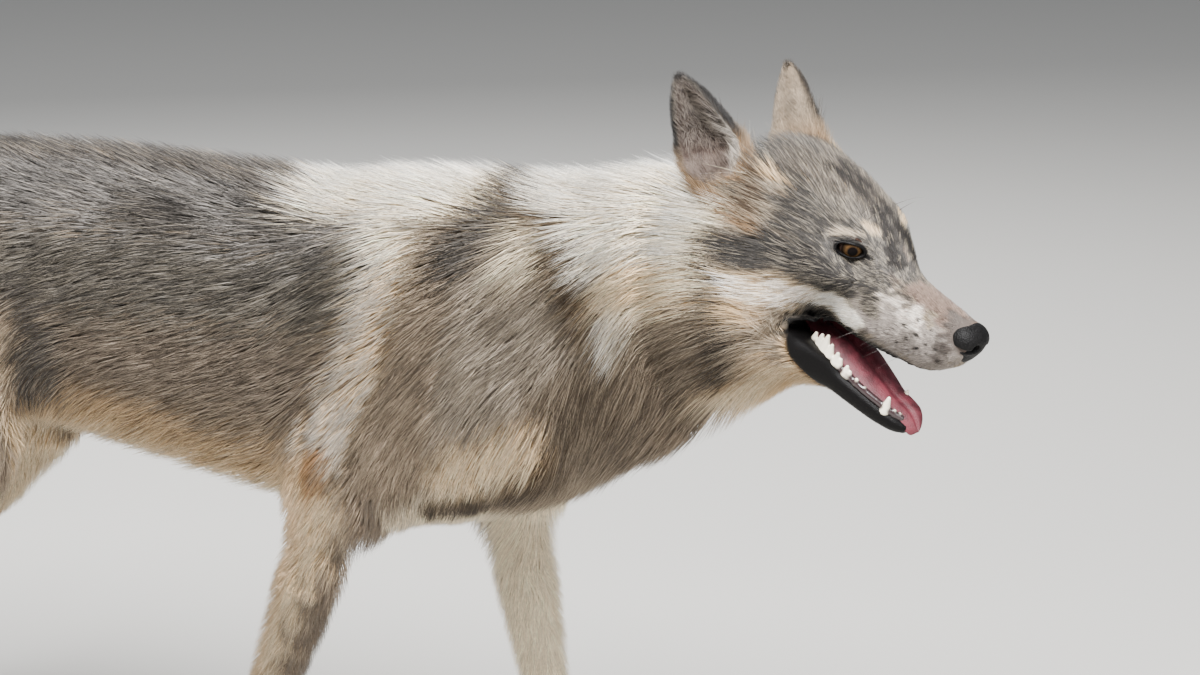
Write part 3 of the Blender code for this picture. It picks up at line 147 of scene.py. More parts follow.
def box_of(points: Sequence, reach: Sequence) -> tuple[Array, Array]:
    """Low and high corners round some points, each with its own reach."""
    points, reach = np.array(points, float), np.reshape(np.array(reach, float), (-1, 1))
    return (points - reach).min(0), (points + reach).max(0)


class Limb:
    """A tapered rod with round ends; flat narrows it sideways."""

    def __init__(
        self, start: Sequence[float], end: Sequence[float], r0: float, r1: float, flat: float = 1.0,
        place: Frame = WORLD,
    ) -> None:
        """Takes the two ends in a frame and the radius at each."""
        self.place, self.flat, self.r0, self.r1 = place, flat, r0, r1
        self.start, self.end = np.array(start, float), np.array(end, float)
        self.box = box_of([place.world(start), place.world(end)], [r0, r1])

    def distance(self, x: Array, y: Array, z: Array) -> Array:
        """Distance to the nearest point of the axis, less the radius there."""
        u, v, w = self.place.local(x, y, z)
        a, d = self.start, self.end - self.start
        h = np.clip(((u - a[0]) * d[0] + (v - a[1]) * d[1] + (w - a[2]) * d[2]) / (d @ d), 0, 1)
        side = (v - a[1] - h * d[1]) / self.flat
        r = self.r0 + (self.r1 - self.r0) * h
        away = np.sqrt((u - a[0] - h * d[0]) ** 2 + side**2 + (w - a[2] - h * d[2]) ** 2)
        return (away - r) * min(1.0, self.flat)


class Chain:
    """Tapered rods end to end along a smooth curve through some points."""

    def __init__(self, points: Sequence, radii: Sequence[float], flat: float = 1.0, pieces: int = 24) -> None:
        """Runs a cubic curve through the points and radii."""
        points, at = np.array(points, float), np.linspace(0, len(points) - 1, pieces + 1)
        table = np.column_stack([points, radii])
        slope = np.gradient(table, axis=0)
        index = np.minimum(at.astype(int), len(points) - 2)
        curve = cubic(table[index], table[index + 1], slope[index], slope[index + 1], (at - index)[:, None])
        self.rods = [Limb(a[:3], b[:3], a[3], b[3], flat) for a, b in zip(curve, curve[1:])]
        self.box = box_of(curve[:, :3], curve[:, 3])

    def distance(self, x: Array, y: Array, z: Array) -> Array:
        """The least of the rods' distances."""
        away = self.rods[0].distance(x, y, z)
        for rod in self.rods[1:]:
            away = np.minimum(away, rod.distance(x, y, z))
        return away


class Ball:
    """An ellipsoid with its radii along a frame's directions, turned in pitch by tilt."""

    def __init__(
        self, centre: Sequence[float], radii: Triple, place: Frame = WORLD, tilt: float = 0.0
    ) -> None:
        """Takes the centre in a frame."""
        self.centre, self.radii, self.place = np.array(centre, float), radii, place
        self.cos, self.sin = math.cos(tilt), math.sin(tilt)
        self.box = box_of([place.world(centre)], [max(radii)])

    def distance(self, x: Array, y: Array, z: Array) -> Array:
        """k0 (k0 - 1) / k1, with k0 and k1 the lengths scaled by the radii once and twice."""
        u, v, w = self.place.local(x, y, z)
        u, v, w = u - self.centre[0], v - self.centre[1], w - self.centre[2]
        u, w = u * self.cos - w * self.sin, u * self.sin + w * self.cos
        a, b, c = self.radii
        k0 = np.sqrt((u / a) ** 2 + (v / b) ** 2 + (w / c) ** 2)
        k1 = np.sqrt((u / a**2) ** 2 + (v / b**2) ** 2 + (w / c**2) ** 2)
        return k0 * (k0 - 1) / np.maximum(k1, 1e-6)


def cubic(low: Array, high: Array, slope_low: Array, slope_high: Array, t: Array) -> Array:
    """Hermite curve: the cubic with given values and slopes at t = 0 and t = 1."""
    return (
        (2 * t**3 - 3 * t**2 + 1) * low
        + (t**3 - 2 * t**2 + t) * slope_low
        + (3 * t**2 - 2 * t**3) * high
        + (t**3 - t**2) * slope_high
    )


class Loft:
    """Oval sections along a frame's forward axis: (along, top, bottom, half width), in millimetres."""

    def __init__(
        self, sections: Sequence, place: Frame = WORLD, power: float = 2.2, skew: float = 0.0
    ) -> None:
        """Runs a cubic curve through the sections' sizes."""
        self.place, self.power, self.skew = place, power, skew
        table = metres(sections)
        self.along = np.linspace(table[0, 0], table[-1, 0], 160)
        slope = np.gradient(table[:, 1:], table[:, 0], axis=0)
        index = np.clip(np.searchsorted(table[:, 0], self.along, "right") - 1, 0, len(table) - 2)
        step = (table[index + 1, 0] - table[index, 0])[:, None]
        t = (self.along - table[index, 0])[:, None] / step
        ends = table[index, 1:], table[index + 1, 1:]
        self.shape = cubic(*ends, step * slope[index], step * slope[index + 1], t).T
        corners = [place.world((s[0], side * s[3], s[k])) for s in table for side in (-1, 1) for k in (1, 2)]
        self.box = box_of(corners, [0.0] * len(corners))

    def distance(self, x: Array, y: Array, z: Array) -> Array:
        """Distance to the oval |v/width|^n + |w/height|^n = 1 of the section, and to the ends."""
        u, v, w = self.place.local(x, y, z)
        top, bottom, width = (np.interp(u, self.along, s) for s in self.shape)
        high = np.maximum((top - bottom) / 2, 1e-4)
        rise = (w - (top + bottom) / 2) / high
        width = np.maximum(width, 1e-4) * (1 + self.skew * np.clip(rise, -1, 1))
        p, q, n = np.abs(v / width) + 1e-9, np.abs(rise) + 1e-9, self.power
        k = (p**n + q**n) ** (1 / n)
        steep = k ** (1 - n) * np.sqrt((p ** (n - 1) / width) ** 2 + (q ** (n - 1) / high) ** 2)
        oval = (k - 1) / np.maximum(steep, 1e-3)
        end = np.maximum(self.along[0] - u, u - self.along[-1])
        outside = np.hypot(np.maximum(oval, 0), np.maximum(end, 0))
        return np.minimum(np.maximum(oval, end), 0) + outside


class Volume:
    """Distances on a grid whose three axes may have uneven spacing."""

    def __init__(self, xs: Array, ys: Array, zs: Array) -> None:
        """Starts empty, with every place far outside."""
        self.axes = [np.asarray(a, float) for a in (xs, ys, zs)]
        self.d = np.full([len(a) for a in self.axes], FAR)

    def block(self, form: object, margin: float) -> tuple:
        """The part of the grid near a form, and its coordinates."""
        low, high = form.box
        cut = tuple(
            slice(max(np.searchsorted(a, lo - margin) - 1, 0), np.searchsorted(a, hi + margin) + 1)
            for a, lo, hi in zip(self.axes, low, high)
        )
        a, b, c = (axis[s] for axis, s in zip(self.axes, cut))
        return cut, a[:, None, None], b[None, :, None], c[None, None, :]

    def add(self, form: object, melt: float) -> None:
        """Joins a form on, with a soft crease about as wide as melt."""
        cut, x, y, z = self.block(form, melt + 0.05)
        if 0 in self.d[cut].shape:
            return
        new, old = form.distance(x, y, z), self.d[cut]
        h = np.maximum(melt - np.abs(new - old), 0) / melt
        self.d[cut] = np.minimum(new, old) - h * h * melt / 4

    def carve(self, form: object, melt: float) -> None:
        """Takes a form away, with a soft edge."""
        cut, x, y, z = self.block(form, melt + 0.01)
        if 0 in self.d[cut].shape:
            return
        new, old = -form.distance(x, y, z), self.d[cut]
        h = np.maximum(melt - np.abs(new - old), 0) / melt
        self.d[cut] = np.maximum(new, old) + h * h * melt / 4

    def floor(self, height: float = 0.0) -> None:
        """Cuts everything flat at a height."""
        self.d = np.maximum(self.d, height - self.axes[2][None, None, :])

    def at(self, points: Array) -> Array:
        """The distance at some points, linear between the grid's values."""
        cell, part = [], []
        for n, axis in enumerate(self.axes):
            low = np.clip(np.searchsorted(axis, points[:, n], "right") - 1, 0, len(axis) - 2)
            cell.append(low)
            part.append(np.clip((points[:, n] - axis[low]) / (axis[low + 1] - axis[low]), 0, 1))
        total = 0
        for corner in CORNERS:
            share = 1
            for far, t in zip(corner, part):
                share = share * (t if far else 1 - t)
            total = total + share * self.d[tuple(low + far for low, far in zip(cell, corner))]
        return total

    def away(self, points: Array, step: float = 0.004) -> Array:
        """The outward direction at some points, from differences over a step."""
        slope = [self.at(points + step * axis) - self.at(points - step * axis) for axis in np.eye(3)]
        return unit(np.stack(slope, 1))

    def settle(self, points: Array, height: Array, rounds: int = 2) -> Array:
        """Moves points along the outward direction until they are at a distance."""
        for _ in range(rounds):
            gap = self.at(points) - height
            points = points - np.clip(gap, -0.012, 0.012)[:, None] * self.away(points)
        return points

    def surface(self) -> tuple[Array, Array]:
        """The surface at distance zero.

        Returns:
            Points, one in each grid cell that the surface crosses, and four-sided faces, one
            for each grid edge that it crosses.
        """
        d, axes = self.d, self.axes
        inside = d < 0
        cells = np.array(d.shape) - 1
        count = np.zeros(cells, np.int8)
        for a, b, c in CORNERS:
            count += inside[a : a + cells[0], b : b + cells[1], c : c + cells[2]]
        at = np.argwhere((count > 0) & (count < 8))
        total, crossings = np.zeros((len(at), 3)), np.zeros(len(at))
        for first in CORNERS:
            for axis in (n for n in range(3) if not first[n]):
                low = at + first
                high = low + np.eye(3, dtype=int)[axis]
                dl, dh = d[tuple(low.T)], d[tuple(high.T)]
                cross = (dl < 0) != (dh < 0)
                t = np.where(cross, -dl / np.where(cross, dh - dl, 1), 0)
                for n in range(3):
                    pl, ph = axes[n][low[:, n]], axes[n][high[:, n]]
                    total[:, n] += np.where(cross, pl + t * (ph - pl), 0)
                crossings += cross
        points = total / crossings[:, None]
        index = np.full(cells, -1)
        index[tuple(at.T)] = np.arange(len(at))
        faces = []
        step = np.eye(3, dtype=int)
        for axis in range(3):
            u, v = (axis + 1) % 3, (axis + 2) % 3
            lower, upper = [slice(None)] * 3, [slice(None)] * 3
            lower[axis], upper[axis] = slice(0, -1), slice(1, None)
            one, two = inside[tuple(lower)], inside[tuple(upper)]
            edge = np.argwhere(one != two)
            edge = edge[np.all([(edge[:, n] > 0) & (edge[:, n] < d.shape[n] - 1) for n in (u, v)], axis=0)]
            outward = one[tuple(edge.T)]
            ring = [edge - step[u] - step[v], edge - step[v], edge, edge - step[u]]
            quad = np.stack([index[tuple(c.T)] for c in ring], 1)
            quad[~outward] = quad[~outward][:, ::-1]
            faces.append(quad)
        return points, np.concatenate(faces)


def window(low: Triple, high: Triple, cell: float, place: Frame = WORLD) -> Volume:
    """An evenly spaced volume round a box given in a frame."""
    ends = np.array([low, high])
    corners = np.array([place.world((ends[a, 0], ends[b, 1], ends[c, 2])) for a, b, c in CORNERS])
    axes = [np.arange(corners[:, n].min(), corners[:, n].max() + cell, cell) for n in range(3)]
    return Volume(*axes)


def uneven(stretches: Sequence[Triple]) -> Array:
    """Grid places from (start, end, cell) stretches that follow one another."""
    parts = [np.arange(a, b - cell / 2, cell) for a, b, cell in stretches]
    return np.concatenate(parts + [[stretches[-1][1]]])


@dataclass(frozen=True)
class Mesh:
    """Points in metres from the floor under the withers, and faces of three or four corners."""

    points: Array
    faces: Array

    def kept(self, mask: Array) -> "Mesh":
        """The faces that a mask of the points keeps whole, with only the points they use."""
        faces = self.faces[mask[self.faces].all(1)]
        used, index = np.unique(faces, return_inverse=True)
        return Mesh(self.points[used], index.reshape(faces.shape))

    @staticmethod
    def joined(meshes: Sequence["Mesh"]) -> "Mesh":
        """Several meshes as one."""
        offset = np.cumsum([0] + [len(m.points) for m in meshes[:-1]])
        faces = np.concatenate([m.faces + o for m, o in zip(meshes, offset)])
        return Mesh(np.concatenate([m.points for m in meshes]), faces)

    def object(self, name: str, material: bpy.types.Material, smooth: bool = True) -> bpy.types.Object:
        """Makes the mesh an object at the origin, with its place in its mesh."""
        corners = self.faces.shape[1]
        data = bpy.data.meshes.new(name)
        data.vertices.add(len(self.points))
        data.vertices.foreach_set("co", (self.points + ORIGIN_SHIFT).astype(np.float32).ravel())
        data.loops.add(self.faces.size)
        data.loops.foreach_set("vertex_index", self.faces.astype(np.int32).ravel())
        data.polygons.add(len(self.faces))
        data.polygons.foreach_set("loop_start", np.arange(0, self.faces.size, corners, dtype=np.int32))
        data.polygons.foreach_set("use_smooth", np.full(len(self.faces), smooth))
        data.update(calc_edges=True)
        data.materials.append(material)
        obj = bpy.data.objects.new(name, data)
        bpy.context.scene.collection.objects.link(obj)
        return obj


def grid_mesh(points: Array, wrap: bool = False) -> Mesh:
    """A surface from an array of points over two parameters.

    Args:
        points: rows along the first parameter, columns along the second.
        wrap: whether the last column meets the first.

    Returns:
        The surface with one four-sided face between neighbouring rows and columns.
    """
    rows, columns = points.shape[:2]
    index = np.arange(rows * columns).reshape(rows, columns)
    if wrap:
        index = np.concatenate([index, index[:, :1]], 1)
    quads = np.stack([index[:-1, :-1], index[:-1, 1:], index[1:, 1:], index[1:, :-1]], -1)
    return Mesh(points.reshape(-1, 3), quads.reshape(-1, 4))


@dataclass(frozen=True)
class Trunk:
    """Rib cage, belly, rump and neck."""

    sections: tuple = (
        (-650, 630, 520, 30),
        (-615, 672, 470, 70),
        (-540, 706, 436, 96),
        (-430, 718, 420, 102),
        (-300, 719, 400, 104),
        (-170, 716, 382, 110),
        (-50, 715, 377, 114),
        (40, 714, 381, 112),
        (120, 704, 405, 100),
        (175, 675, 442, 76),
        (205, 620, 505, 40),
    )
    neck: tuple = (
        (0, 132, -150, 92),
        (100, 121, -165, 98),
        (200, 116, -176, 101),
        (280, 112, -156, 101),
        (340, 106, -126, 99),
        (390, 86, -94, 84),
    )
    neck_at: Triple = (-0.020, 0.0, 0.575)

    def forms(self) -> list:
        """Each form, and how wide the crease is where it joins."""
        carried = Frame(self.neck_at, -math.radians(13.4), math.radians(2.1))
        return [
            (Loft(self.sections, power=2.3, skew=0.10), 0.03),
            (Loft(self.neck, place=carried, power=2.2), 0.06),
            (Limb((0.392, 0.004, 0.598), (0.290, 0.006, 0.625), 0.042, 0.092), 0.04),
        ]


@dataclass(frozen=True)
class Foot:
    """One foot: pastern, palm, four toes with claws, and the heel pad."""

    upper: Triple
    knuckle: Triple
    length: float
    half_width: float
    pastern: float

    def toes(self) -> list[tuple[Triple, Triple]]:
        """Root and tip of each toe; the middle two reach farther."""
        x, y, _ = self.knuckle
        places = []
        for toe in range(4):
            spread = (toe - 1.5) / 1.5
            reach = self.length * (1.0 if toe in (1, 2) else 0.80)
            root = (x + 0.012, y + spread * self.half_width * 0.50, 0.036)
            places.append((root, (x + reach, y + spread * self.half_width * 0.70, 0.0165)))
        return places

    def forms(self) -> list:
        """Each form, and how wide the crease is where it joins."""
        x, y, _ = self.knuckle
        forms = [
            (Limb(self.upper, self.knuckle, self.pastern, self.pastern * 1.02, 0.88), 0.02),
            (Ball((x + 0.016, y, 0.031), (0.040, self.half_width * 0.84, 0.029)), 0.02),
            (Ball((x + 0.004, y, 0.012), (0.026, self.half_width * 0.62, 0.016)), 0.008),
        ]
        forms += [(Limb(root, tip, 0.0165, 0.0160, 0.90), 0.006) for root, tip in self.toes()]
        return forms


@dataclass(frozen=True)
class Foreleg:
    """Shoulder blade, upper arm, forearm and forefoot of one side."""

    side: int
    shoulder: Triple
    elbow: Triple
    wrist: Triple
    knuckle: Triple

    def foot(self) -> Foot:
        """The forefoot."""
        return Foot(self.wrist, self.knuckle, 0.072, 0.043, 0.0255)

    def forms(self) -> list:
        """Each form, and how wide the crease is where it joins."""
        withers = (0.020, self.side * 0.052, 0.636)
        point = (self.elbow[0] - 0.020, self.elbow[1], self.elbow[2] + 0.008)
        return [
            (Limb(withers, self.shoulder, 0.052, 0.060, 0.75), 0.05),
            (Limb(self.shoulder, self.elbow, 0.060, 0.050, 0.72), 0.05),
            (Limb(self.elbow, self.wrist, 0.050, 0.0255, 0.74), 0.035),
            (Ball(point, (0.030, 0.026, 0.034)), 0.03),
        ] + self.foot().forms()


@dataclass(frozen=True)
class Hindleg:
    """Thigh, shin and hind foot of one side."""

    hip: Triple
    knee: Triple
    hock: Triple
    knuckle: Triple

    def foot(self) -> Foot:
        """The hind foot."""
        return Foot(self.hock, self.knuckle, 0.066, 0.038, 0.0235)

    def forms(self) -> list:
        """Each form, and how wide the crease is where it joins."""
        rear = (self.hip[0] - 0.055, self.hip[1], self.hip[2] - 0.03)
        calf = tuple(k + 0.38 * (h - k) for k, h in zip(self.knee, self.hock))
        heel = (self.hock[0] - 0.012, self.hock[1], self.hock[2] + 0.022)
        return [
            (Limb(self.hip, self.knee, 0.088, 0.056, 0.62), 0.05),
            (Limb(rear, calf, 0.062, 0.040, 0.66), 0.05),
            (Limb(self.knee, self.hock, 0.050, 0.025, 0.74), 0.04),
            (Limb(calf, heel, 0.034, 0.017, 0.72), 0.03),
        ] + self.foot().forms()


FORELEGS = (
    Foreleg(
        -1, (0.125, -0.075, 0.515), (-0.050, -0.086, 0.425), (-0.160, -0.080, 0.160), (-0.183, -0.080, 0.046)
    ),
    Foreleg(1, (0.140, 0.075, 0.515), (0.030, 0.086, 0.405), (0.083, 0.080, 0.160), (0.100, 0.080, 0.044)),
)
HINDLEGS = (
    Hindleg(
        (-0.500, -0.066, 0.590), (-0.482, -0.088, 0.420), (-0.630, -0.080, 0.200), (-0.628, -0.080, 0.042)
    ),
    Hindleg((-0.510, 0.066, 0.590), (-0.540, 0.088, 0.410), (-0.705, 0.080, 0.222), (-0.742, 0.080, 0.046)),
)
FEET = ("forefoot_right", "forefoot_left", "hindfoot_right", "hindfoot_left")


@dataclass(frozen=True)
class Tail:
    """The hanging brush: its middle line, back and up, and its radii, in millimetres."""

    line: tuple = (
        (-590, 655), (-660, 628), (-728, 560), (-775, 460), (-800, 360), (-812, 262),
    )
    radii: tuple = (36, 40, 49, 56, 50, 12)

    def forms(self) -> list:
        """The one form with the width of the crease where it joins."""
        line = [metres((x, 0, z)) for x, z in self.line]
        return [(Chain(line, metres(self.radii), 0.92), 0.03)]


@dataclass(frozen=True)
class Skull:
    """The head in its own frame: muzzle, brow, cheeks, jaw and the open mouth."""

    muzzle: tuple = (
        (-30, 20, -80, 52),
        (0, 13, -79, 45),
        (30, 4, -83, 38),
        (60, 0, -80, 32.5),
        (90, 0, -72.5, 28),
        (110, 0, -62.5, 25),
        (124, -2, -49, 20.5),
        (132, -8, -40, 14),
    )
    jaw: tuple = (
        (-60, -70, -135, 36),
        (-20, -88, -140, 37),
        (12, -97, -138, 34.5),
        (40, -104, -136, 30),
        (70, -109, -135.5, 24.5),
        (95, -113, -134, 19),
        (110, -116, -131, 13.5),
        (118, -119, -127, 8),
    )
    palate: tuple = (
        (-20, -66, -94, 20),
        (10, -56, -100, 30),
        (50, -50, -100, 24.5),
        (90, -49, -100, 19),
        (112, -53, -96, 11),
    )
    gape: tuple = (
        (-13, -86, -97, 50),
        (3, -82, -99, 55),
        (40, -82.5, -105, 60),
        (65, -79, -108, 60),
        (90, -72.5, -112, 60),
        (150, -60, -116, 60),
    )
    eye: Triple = (-0.001, 0.0335, 0.0005)
    lid_radius: float = 0.0147

    def forms(self) -> list:
        """Skull, brow, cheeks and the upper half of the muzzle."""
        forms = [
            (Ball((-0.075, 0, -0.012), (0.082, 0.068, 0.053), HEAD), 0.02),
            (Ball((-0.020, 0, 0.000), (0.060, 0.048, 0.033), HEAD, math.radians(8)), 0.02),
            (Loft(self.muzzle, place=HEAD, power=2.3, skew=-0.12), 0.022),
        ]
        for side in (-1, 1):
            forms += [
                (Ball((-0.011, side * 0.029, 0.012), (0.020, 0.014, 0.010), HEAD), 0.012),
                (Ball((-0.030, side * 0.044, -0.026), (0.046, 0.023, 0.024), HEAD), 0.02),
                (Ball((-0.058, side * 0.044, -0.066), (0.046, 0.030, 0.052), HEAD), 0.03),
                (Ball((-0.100, side * 0.056, -0.070), (0.044, 0.038, 0.062), HEAD), 0.035),
                (Ball((-0.118, side * 0.050, 0.000), (0.034, 0.026, 0.026), HEAD), 0.025),
            ]
        return forms + [(Loft(self.jaw, place=HEAD, power=2.5, skew=0.12), 0.012)]

    def mouth(self) -> list:
        """What is taken away for the open mouth: between the lips, and under the palate."""
        return [
            (Loft(self.gape, place=HEAD, power=3.0), 0.006),
            (Loft(self.palate, place=HEAD, power=2.6), 0.006),
        ]

    def eye_centre(self, side: int) -> Triple:
        """The middle of one eyeball in the head's frame."""
        return self.eye[0], side * self.eye[1], self.eye[2]

    def almond(self, side: int) -> Ball:
        """The slanted opening between one eye's lids."""
        x, y, z = self.eye_centre(side)
        return Ball((x + 0.005, y + side * 0.009, z), (0.0135, 0.010, 0.0056), HEAD, math.radians(-12))

    def open_eyes(self, volume: Volume) -> None:
        """Hollows the sockets and sets a lid over each eyeball, opened by a slanted almond."""
        for side in (-1, 1):
            volume.carve(Ball((0.012, side * 0.047, -0.001), (0.016, 0.010, 0.010), HEAD), 0.010)
            volume.add(Ball(self.eye_centre(side), (self.lid_radius,) * 3, HEAD), 0.004)
            volume.carve(self.almond(side), 0.002)


SKULL = Skull()


@dataclass(frozen=True)
class Hair:
    """The coat at one place of the left side: depth, lie and hair length, in millimetres."""

    place: Triple
    depth: float
    lie: Triple
    length: float


@dataclass(frozen=True)
class Coat:
    """The coat over the whole wolf, blended between named places."""

    body: tuple = (
        Hair((270, 0, 755), 34, (-1, 0, 0.1), 85),
        Hair((170, 0, 745), 36, (-1, 0, -0.05), 90),
        Hair((60, 0, 725), 34, (-1, 0, -0.05), 90),
        Hair((-60, 0, 716), 30, (-1, 0, -0.02), 80),
        Hair((-200, 0, 718), 26, (-1, 0, 0), 70),
        Hair((-320, 0, 719), 26, (-1, 0, 0), 68),
        Hair((-460, 0, 716), 26, (-1, 0, -0.1), 66),
        Hair((-600, 0, 680), 28, (-1, 0, -0.5), 70),
        Hair((260, 85, 690), 36, (-0.9, 0.1, -0.75), 84),
        Hair((170, 95, 660), 38, (-0.8, 0.1, -0.9), 86),
        Hair((240, 95, 590), 38, (-0.55, 0.05, -1), 80),
        Hair((210, 60, 500), 38, (-0.6, 0.05, -0.9), 85),
        Hair((250, 0, 480), 36, (-0.8, 0, -0.6), 80),
        Hair((150, 0, 420), 32, (-0.9, 0, -0.35), 70),
        Hair((40, 85, 655), 28, (-0.9, 0.05, -0.6), 72),
        Hair((100, 110, 560), 22, (-0.7, 0, -0.9), 50),
        Hair((40, 110, 480), 18, (-0.6, 0, -1), 40),
        Hair((-60, 115, 600), 24, (-0.9, 0, -0.5), 60),
        Hair((-200, 110, 620), 24, (-1, 0, -0.3), 58),
        Hair((-200, 110, 500), 24, (-1, 0, -0.35), 55),
        Hair((-350, 105, 560), 24, (-1, 0, -0.3), 55),
        Hair((-20, 30, 380), 26, (-1, 0, -0.2), 55),
        Hair((-150, 40, 385), 30, (-1, 0, -0.35), 62),
        Hair((-290, 45, 400), 30, (-0.9, 0, -0.45), 62),
        Hair((-390, 50, 425), 26, (-0.8, 0, -0.6), 55),
        Hair((-500, 105, 620), 22, (-1, 0, -0.55), 50),
        Hair((-470, 115, 500), 18, (-0.6, 0, -1), 42),
        Hair((-620, 70, 600), 26, (-0.6, 0.05, -1), 60),
        Hair((-600, 80, 500), 26, (-0.5, 0.05, -1), 62),
        Hair((-560, 50, 440), 18, (-0.4, 0, -1), 45),
        Hair((-500, 100, 360), 10, (-0.3, 0, -1), 26),
        Hair((-590, 85, 270), 7, (-0.4, 0, -1), 19),
        Hair((-690, 85, 270), 7, (-0.4, 0, -1), 19),
        Hair((-640, 80, 120), 5, (0.1, 0, -1), 14),
        Hair((-740, 80, 120), 5, (0.1, 0, -1), 14),
        Hair((-600, 80, 20), 4, (1, 0, -0.4), 10),
        Hair((-700, 80, 20), 4, (1, 0, -0.4), 10),
        Hair((-50, 95, 420), 13, (-0.4, 0, -1), 30),
        Hair((50, 95, 400), 13, (-0.2, 0, -1), 30),
        Hair((-110, 90, 290), 8, (-0.4, 0, -1), 20),
        Hair((60, 90, 280), 8, (0.1, 0, -1), 20),
        Hair((-165, 85, 120), 5, (-0.1, 0, -1), 14),
        Hair((95, 85, 120), 5, (0.1, 0, -1), 14),
        Hair((-140, 80, 20), 4, (1, 0, -0.4), 10),
        Hair((150, 80, 20), 4, (1, 0, -0.4), 10),
        Hair((-690, 0, 600), 26, (-0.7, 0, -0.7), 70),
        Hair((-750, 0, 520), 34, (-0.5, 0, -0.9), 80),
        Hair((-790, 0, 400), 36, (-0.25, 0, -1), 80),
        Hair((-808, 0, 290), 24, (-0.15, 0, -1), 60),
    )
    head: tuple = (
        Hair((115, 15, -25), 2, (-1, 0.1, -0.3), 6),
        Hair((60, 20, -10), 2.5, (-1, 0.1, 0), 8),
        Hair((60, 30, -50), 3, (-1, 0.2, -0.35), 9),
        Hair((60, 20, -130), 3, (-1, 0.1, -0.1), 10),
        Hair((10, 45, -10), 3.5, (-1, 0.4, 0.1), 10),
        Hair((0, 45, -60), 5, (-1, 0.2, -0.25), 15),
        Hair((-20, 0, 30), 5, (-1, 0.1, 0.1), 14),
        Hair((-80, 20, 40), 7, (-1, 0, 0.1), 20),
        Hair((-60, 65, -10), 8, (-1, 0.2, -0.15), 22),
        Hair((-60, 65, -60), 14, (-1, 0.1, -0.35), 34),
        Hair((-100, 85, -60), 24, (-1, 0.1, -0.55), 58),
        Hair((-110, 75, -120), 26, (-0.9, 0.05, -0.8), 62),
        Hair((-60, 40, -140), 20, (-0.9, 0, -0.6), 48),
        Hair((-10, 20, -150), 10, (-1, 0, -0.3), 24),
        Hair((-80, 0, -210), 30, (-0.9, 0, -0.5), 70),
        Hair((-150, 40, 10), 24, (-1, 0.1, 0), 55),
    )
    body_reach: float = 0.055
    head_reach: float = 0.030
    batch: int = 40000

    def at(self, points: Array) -> tuple[Array, Array, Array]:
        """Blends the named places, each weighed by exp(-distance^2 / reach^2).

        Args:
            points: places, one row each.

        Returns:
            Coat depth, lie of the hair as unit vectors, and hair length.
        """
        rows, places, reach = [], [], []
        tables = ((WORLD, self.body, self.body_reach), (HEAD, self.head, self.head_reach))
        for place, table, width in tables:
            for hair in table:
                for side in (1, -1):
                    flip = np.array((1, side, 1))
                    lie = unit(np.array(hair.lie) * flip) @ place.rows
                    places.append(place.world(metres(hair.place) * flip))
                    rows.append([metres(hair.depth), *lie, metres(hair.length)])
                    reach.append(width)
        places, rows, reach = np.array(places), np.array(rows), np.array(reach)
        mixed = np.empty((len(points), 5))
        for start in range(0, len(points), self.batch):
            part = slice(start, start + self.batch)
            squares = (points[part] ** 2).sum(1)[:, None] + (places**2).sum(1)
            near = squares - 2 * points[part] @ places.T
            near /= reach**2
            near = np.exp(np.minimum(near.min(1, keepdims=True) - near, 0))
            mixed[part] = near @ rows / near.sum(1, keepdims=True)
        return mixed[:, 0], unit(mixed[:, 1:4]), mixed[:, 4]


COAT = Coat()

# Colours of the coat, the skin and the mouth
BLACK = linear(20, 18, 17)
CHARCOAL = linear(46, 41, 37)
GREY = linear(94, 88, 82)
PALE_GREY = linear(178, 170, 160)
BROWN_GREY = linear(124, 109, 92)
BROWN = linear(92, 74, 53)
TAN = linear(184, 152, 112)
BUFF = linear(210, 180, 138)
CREAM = linear(236, 219, 190)
WHITE = linear(253, 249, 241)
RUST = linear(132, 96, 62)
MID_BROWN = linear(150, 132, 112)
FACE_GREY = linear(80, 76, 72)
EAR_TAN = linear(120, 95, 68)
MUZZLE_BROWN = linear(108, 89, 78)
MUZZLE_TIP = linear(138, 118, 106)
SPECKLED = linear(160, 150, 141)
SHOULDER_BROWN = linear(160, 147, 131)
LIP_BLACK = linear(9, 8, 8)
MOUTH_DARK = linear(36, 19, 20)
FLANK_TAN = linear(164, 138, 106)
FLANK_BROWN = linear(126, 112, 98)
SIDE_GREY = linear(106, 100, 92)
BACK_GREY = linear(142, 136, 130)
THIGH_BUFF = linear(190, 168, 140)
FORELEG_BUFF = linear(222, 194, 160)
HOCK_TAN = linear(184, 158, 124)
CROWN_GREY = linear(98, 90, 82)
MUZZLE_GREY = linear(148, 138, 130)
NOSE_BROWN = linear(88, 77, 72)
BLOTCH = linear(206, 190, 176)
BLOTCH_TIP = linear(236, 226, 214)
EAR_ROOT = linear(104, 80, 57)
EAR_ROOT_TIP = linear(142, 114, 84)
EAR_FRONT = linear(88, 72, 57)
EAR_LOW = linear(84, 70, 64)
EAR_HIGH = linear(60, 52, 48)
BROW = linear(150, 136, 118)
BROW_TIP = linear(196, 178, 154)
BROW_END = linear(176, 160, 138)


class Side(Enum):
    """Which directions a patch's places are given in."""

    BODY = "body"
    HEAD = "head"


